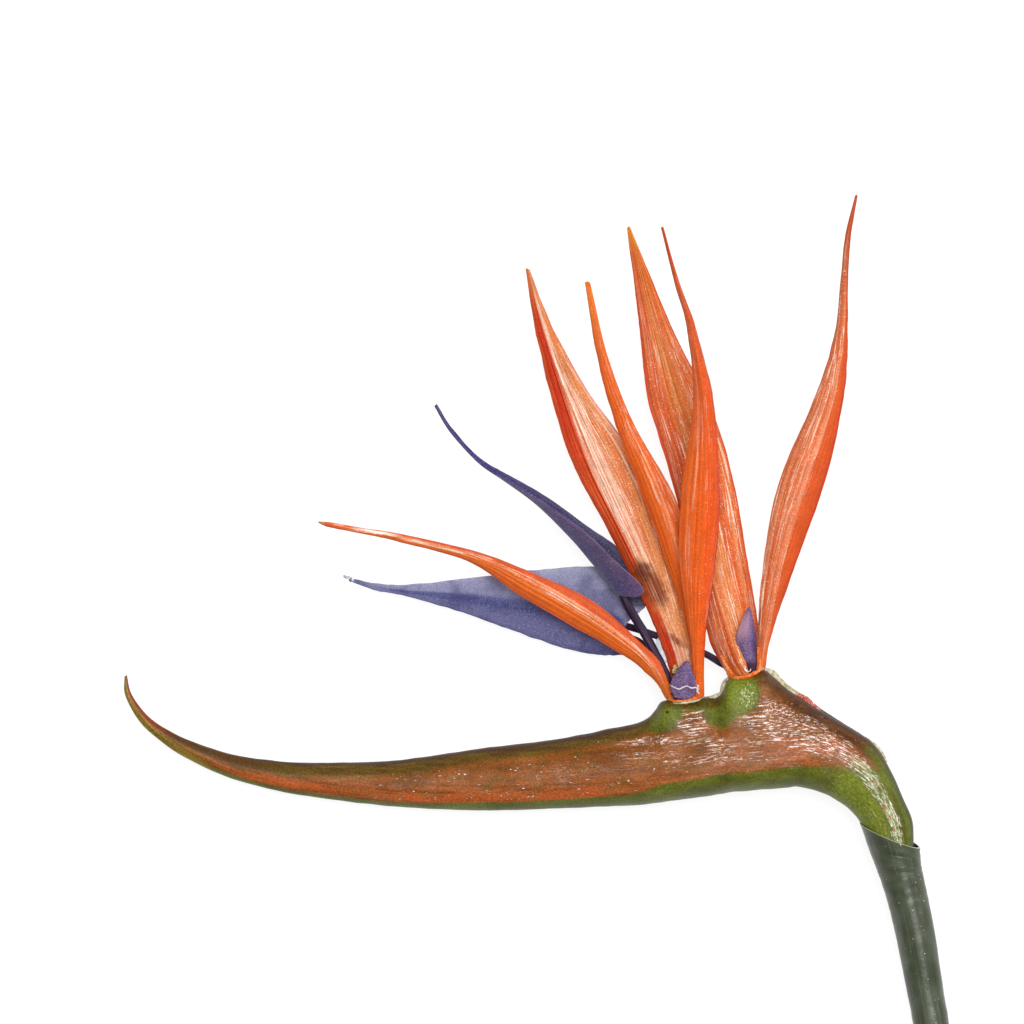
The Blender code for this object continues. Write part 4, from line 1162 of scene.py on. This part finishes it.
stemRows = [  # middle, outer radius, bore radius
    ((57.45, -37.9), 7.3, 6.9), ((58.7, -42.6), 6.7, 6.3), ((59.9, -46.6), 6.2, 5.6),
    ((61, -50.2), 5.95, 1.7), ((62.5, -56), 5.7, 1.7), ((64.6, -65.6), 5.5, 1.7), ((66.8, -78.1), 5.2, 1.7),
    ((69.2, -91.5), 4.95, 1.7), ((75.8, -128), 4.85, 1.7), ((82.6, -166), 4.8, 1.7), ((89, -206), 4.8, 1.7),
    ((94.6, -248), 4.8, 1.7),
]
stemBuild = {
    "rows": 260, "sides": 64, "slant": 0.74, "slantRows": 3, "sag": 1.3,
    "skinTo": 0.47, "cutTo": 0.5, "boreTo": 0.97,
}
stemMiddle, outerRadii, boreRadii = vectors(column(stemRows, 0)), column(stemRows, 1), column(stemRows, 2)


def stemPoint(s, t):
    # along the skin from the mouth to the cut end, over the cut, back up the bore, over the mouth's edge
    skin, cut, bore = stemBuild["skinTo"], stemBuild["cutTo"], stemBuild["boreTo"]
    turn = math.tau * t
    if s <= skin:
        down, inward = s / skin, 0.0
    elif s <= cut:
        down, inward = 1.0, (s - skin) / (cut - skin)
    elif s <= bore:
        down, inward = 1 - (s - cut) / (bore - cut), 1.0
    else:
        down, inward = 0.0, (1 - s) / (1 - bore)
    outer = lineAt(outerRadii, down)
    outer += 0.12 * wander(down * 60, 3.0) + 0.08 * wander(down * 30, math.cos(turn), math.sin(turn))
    radius = outer + (lineAt(boreRadii, down) - outer) * inward
    middle = lineAt(stemMiddle, down)
    along = headingAt(stemMiddle, down)
    side = Vector((-along.y, along.x))
    mouth = max(0.0, 1 - down * (len(stemRows) - 1) / stemBuild["slantRows"])
    slip = stemBuild["slant"] * radius * math.cos(turn) + stemBuild["sag"] * math.sin(turn)
    spot = middle + side * radius * math.cos(turn) + along * mouth * slip
    return spot.x, spot.y, radius * math.sin(turn)


def stemMaterial():
    material = newMaterial("stem_tube_green", Roughness=0.3, Specular_IOR_Level=0.45)
    uv = uvAt()
    run = partsOf(uv)[0]
    cloud = drawnOut(uv, (30.0, 6.0, 1.0))
    drawn = drawnOut(uv, (8.0, 90.0, 1.0))
    grain = grouped(grainGroup, Size=0.5)
    colour = ramp(cloud, tint, (0.3, 64, 70, 57), (0.5, 75, 80, 67), (0.7, 88, 93, 80))
    colour = over(colour, tint(112, 117, 104), between(drawn, 0.55, 0.7), 0.4)
    colour = over(colour, tint(190, 196, 184), between(noiseAt(sheetAt(), 1.4, 1.0), 0.74, 0.78))
    paleEdge = maths("ADD", between(run, 0.0018, 0.0008), between(run, 0.97, 0.975))
    colour = over(colour, tint(178, 182, 158), paleEdge)
    return finishMaterial(material, colour, maths("MULTIPLY_ADD", drawn, 0.4, grain["Cloud"]), 0.3, 0.3)


def wireMaterial():
    material = newMaterial("wire_cut_steel", Roughness=0.35, Metallic=1.0)
    grain = grouped(grainGroup, Size=0.3)
    colour = ramp(grain["Speck"], tint, (0.3, 120, 116, 110), (0.7, 178, 174, 168))
    return finishMaterial(material, colour, Roughness=between(grain["Cloud"], 0.3, 0.7, 0.3, 0.5))


finishPiece(gridPiece("stem_tube", stemBuild, stemPoint), stemMaterial(), "stem_green", "stem")
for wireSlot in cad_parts["stem_wire"].material_slots:
    wireSlot.material = wireMaterial()
print("stem made")

studio = {
    "floorSize": 16.0,
    "floorLevel": -0.0002,
    "floorWhite": 0.2,
    "floorGlow": 0.84,
    "domeStrength": 0.5,
    "frameWidth": 0.28672,
    "lens": 500.0,
    "sensor": 36.0,
    "farthest": 50.0,
    "lookU": -48.44,
    "lookV": 52.64,
    "focusHeight": 15.0,
}
lights = {  # place, disk size, power
    "overhead_softbox": ((0.25, 0.35, 1.7), 1.1, 30.0),
    "side_softbox": ((1.1, 0.5, 0.9), 0.6, 7.0),
}
lightTarget = Vector((0, 0.05, 0))


def makeStage():
    deselectAll()
    bpy.ops.mesh.primitive_plane_add(size=studio["floorSize"], location=(0, 0, studio["floorLevel"]))
    floor = bpy.context.object
    floor.name = "studio_floor"
    material = newMaterial("studio_floor_white", Roughness=0.9, Specular_IOR_Level=0.1)
    white = (studio["floorWhite"],) * 3 + (1,)
    glow = {"Emission Color": (1, 1, 1, 1), "Emission Strength": studio["floorGlow"]}
    feed(shaderOf(material), {"Base Color": white, **glow})
    floor.data.materials.append(material)
    world = bpy.data.worlds.new("studio_dome")
    world.use_nodes = True
    backdrop = world.node_tree.nodes["Background"]
    backdrop.inputs["Color"].default_value = (1.0, 1.0, 1.0, 1)
    backdrop.inputs["Strength"].default_value = studio["domeStrength"]
    bpy.context.scene.world = world


def makeLights():
    for name, (spot, size, power) in lights.items():
        data = bpy.data.lights.new(name, "AREA")
        data.shape = "DISK"
        data.size = size
        data.energy = power
        lamp = bpy.data.objects.new(name, data)
        lamp.location = spot
        lamp.rotation_euler = (Vector(spot) - lightTarget).to_track_quat("Z", "Y").to_euler()
        lamp.visible_camera = False
        bpy.context.scene.collection.objects.link(lamp)


def makeCamera():  # straight above, looking down
    data = bpy.data.cameras.new("studio_camera")
    data.sensor_width = studio["sensor"]
    data.lens = studio["lens"]
    data.clip_end = studio["farthest"]
    camera = bpy.data.objects.new("studio_camera", data)
    above = studio["frameWidth"] * studio["lens"] / studio["sensor"] + studio["focusHeight"] * mm
    camera.location = ((crownX + studio["lookU"]) * mm, (crownY + studio["lookV"]) * mm, above)
    bpy.context.scene.collection.objects.link(camera)
    bpy.context.scene.camera = camera
    bpy.context.scene.view_settings.view_transform = "Standard"


makeStage()
makeLights()
makeCamera()
print("stage set")
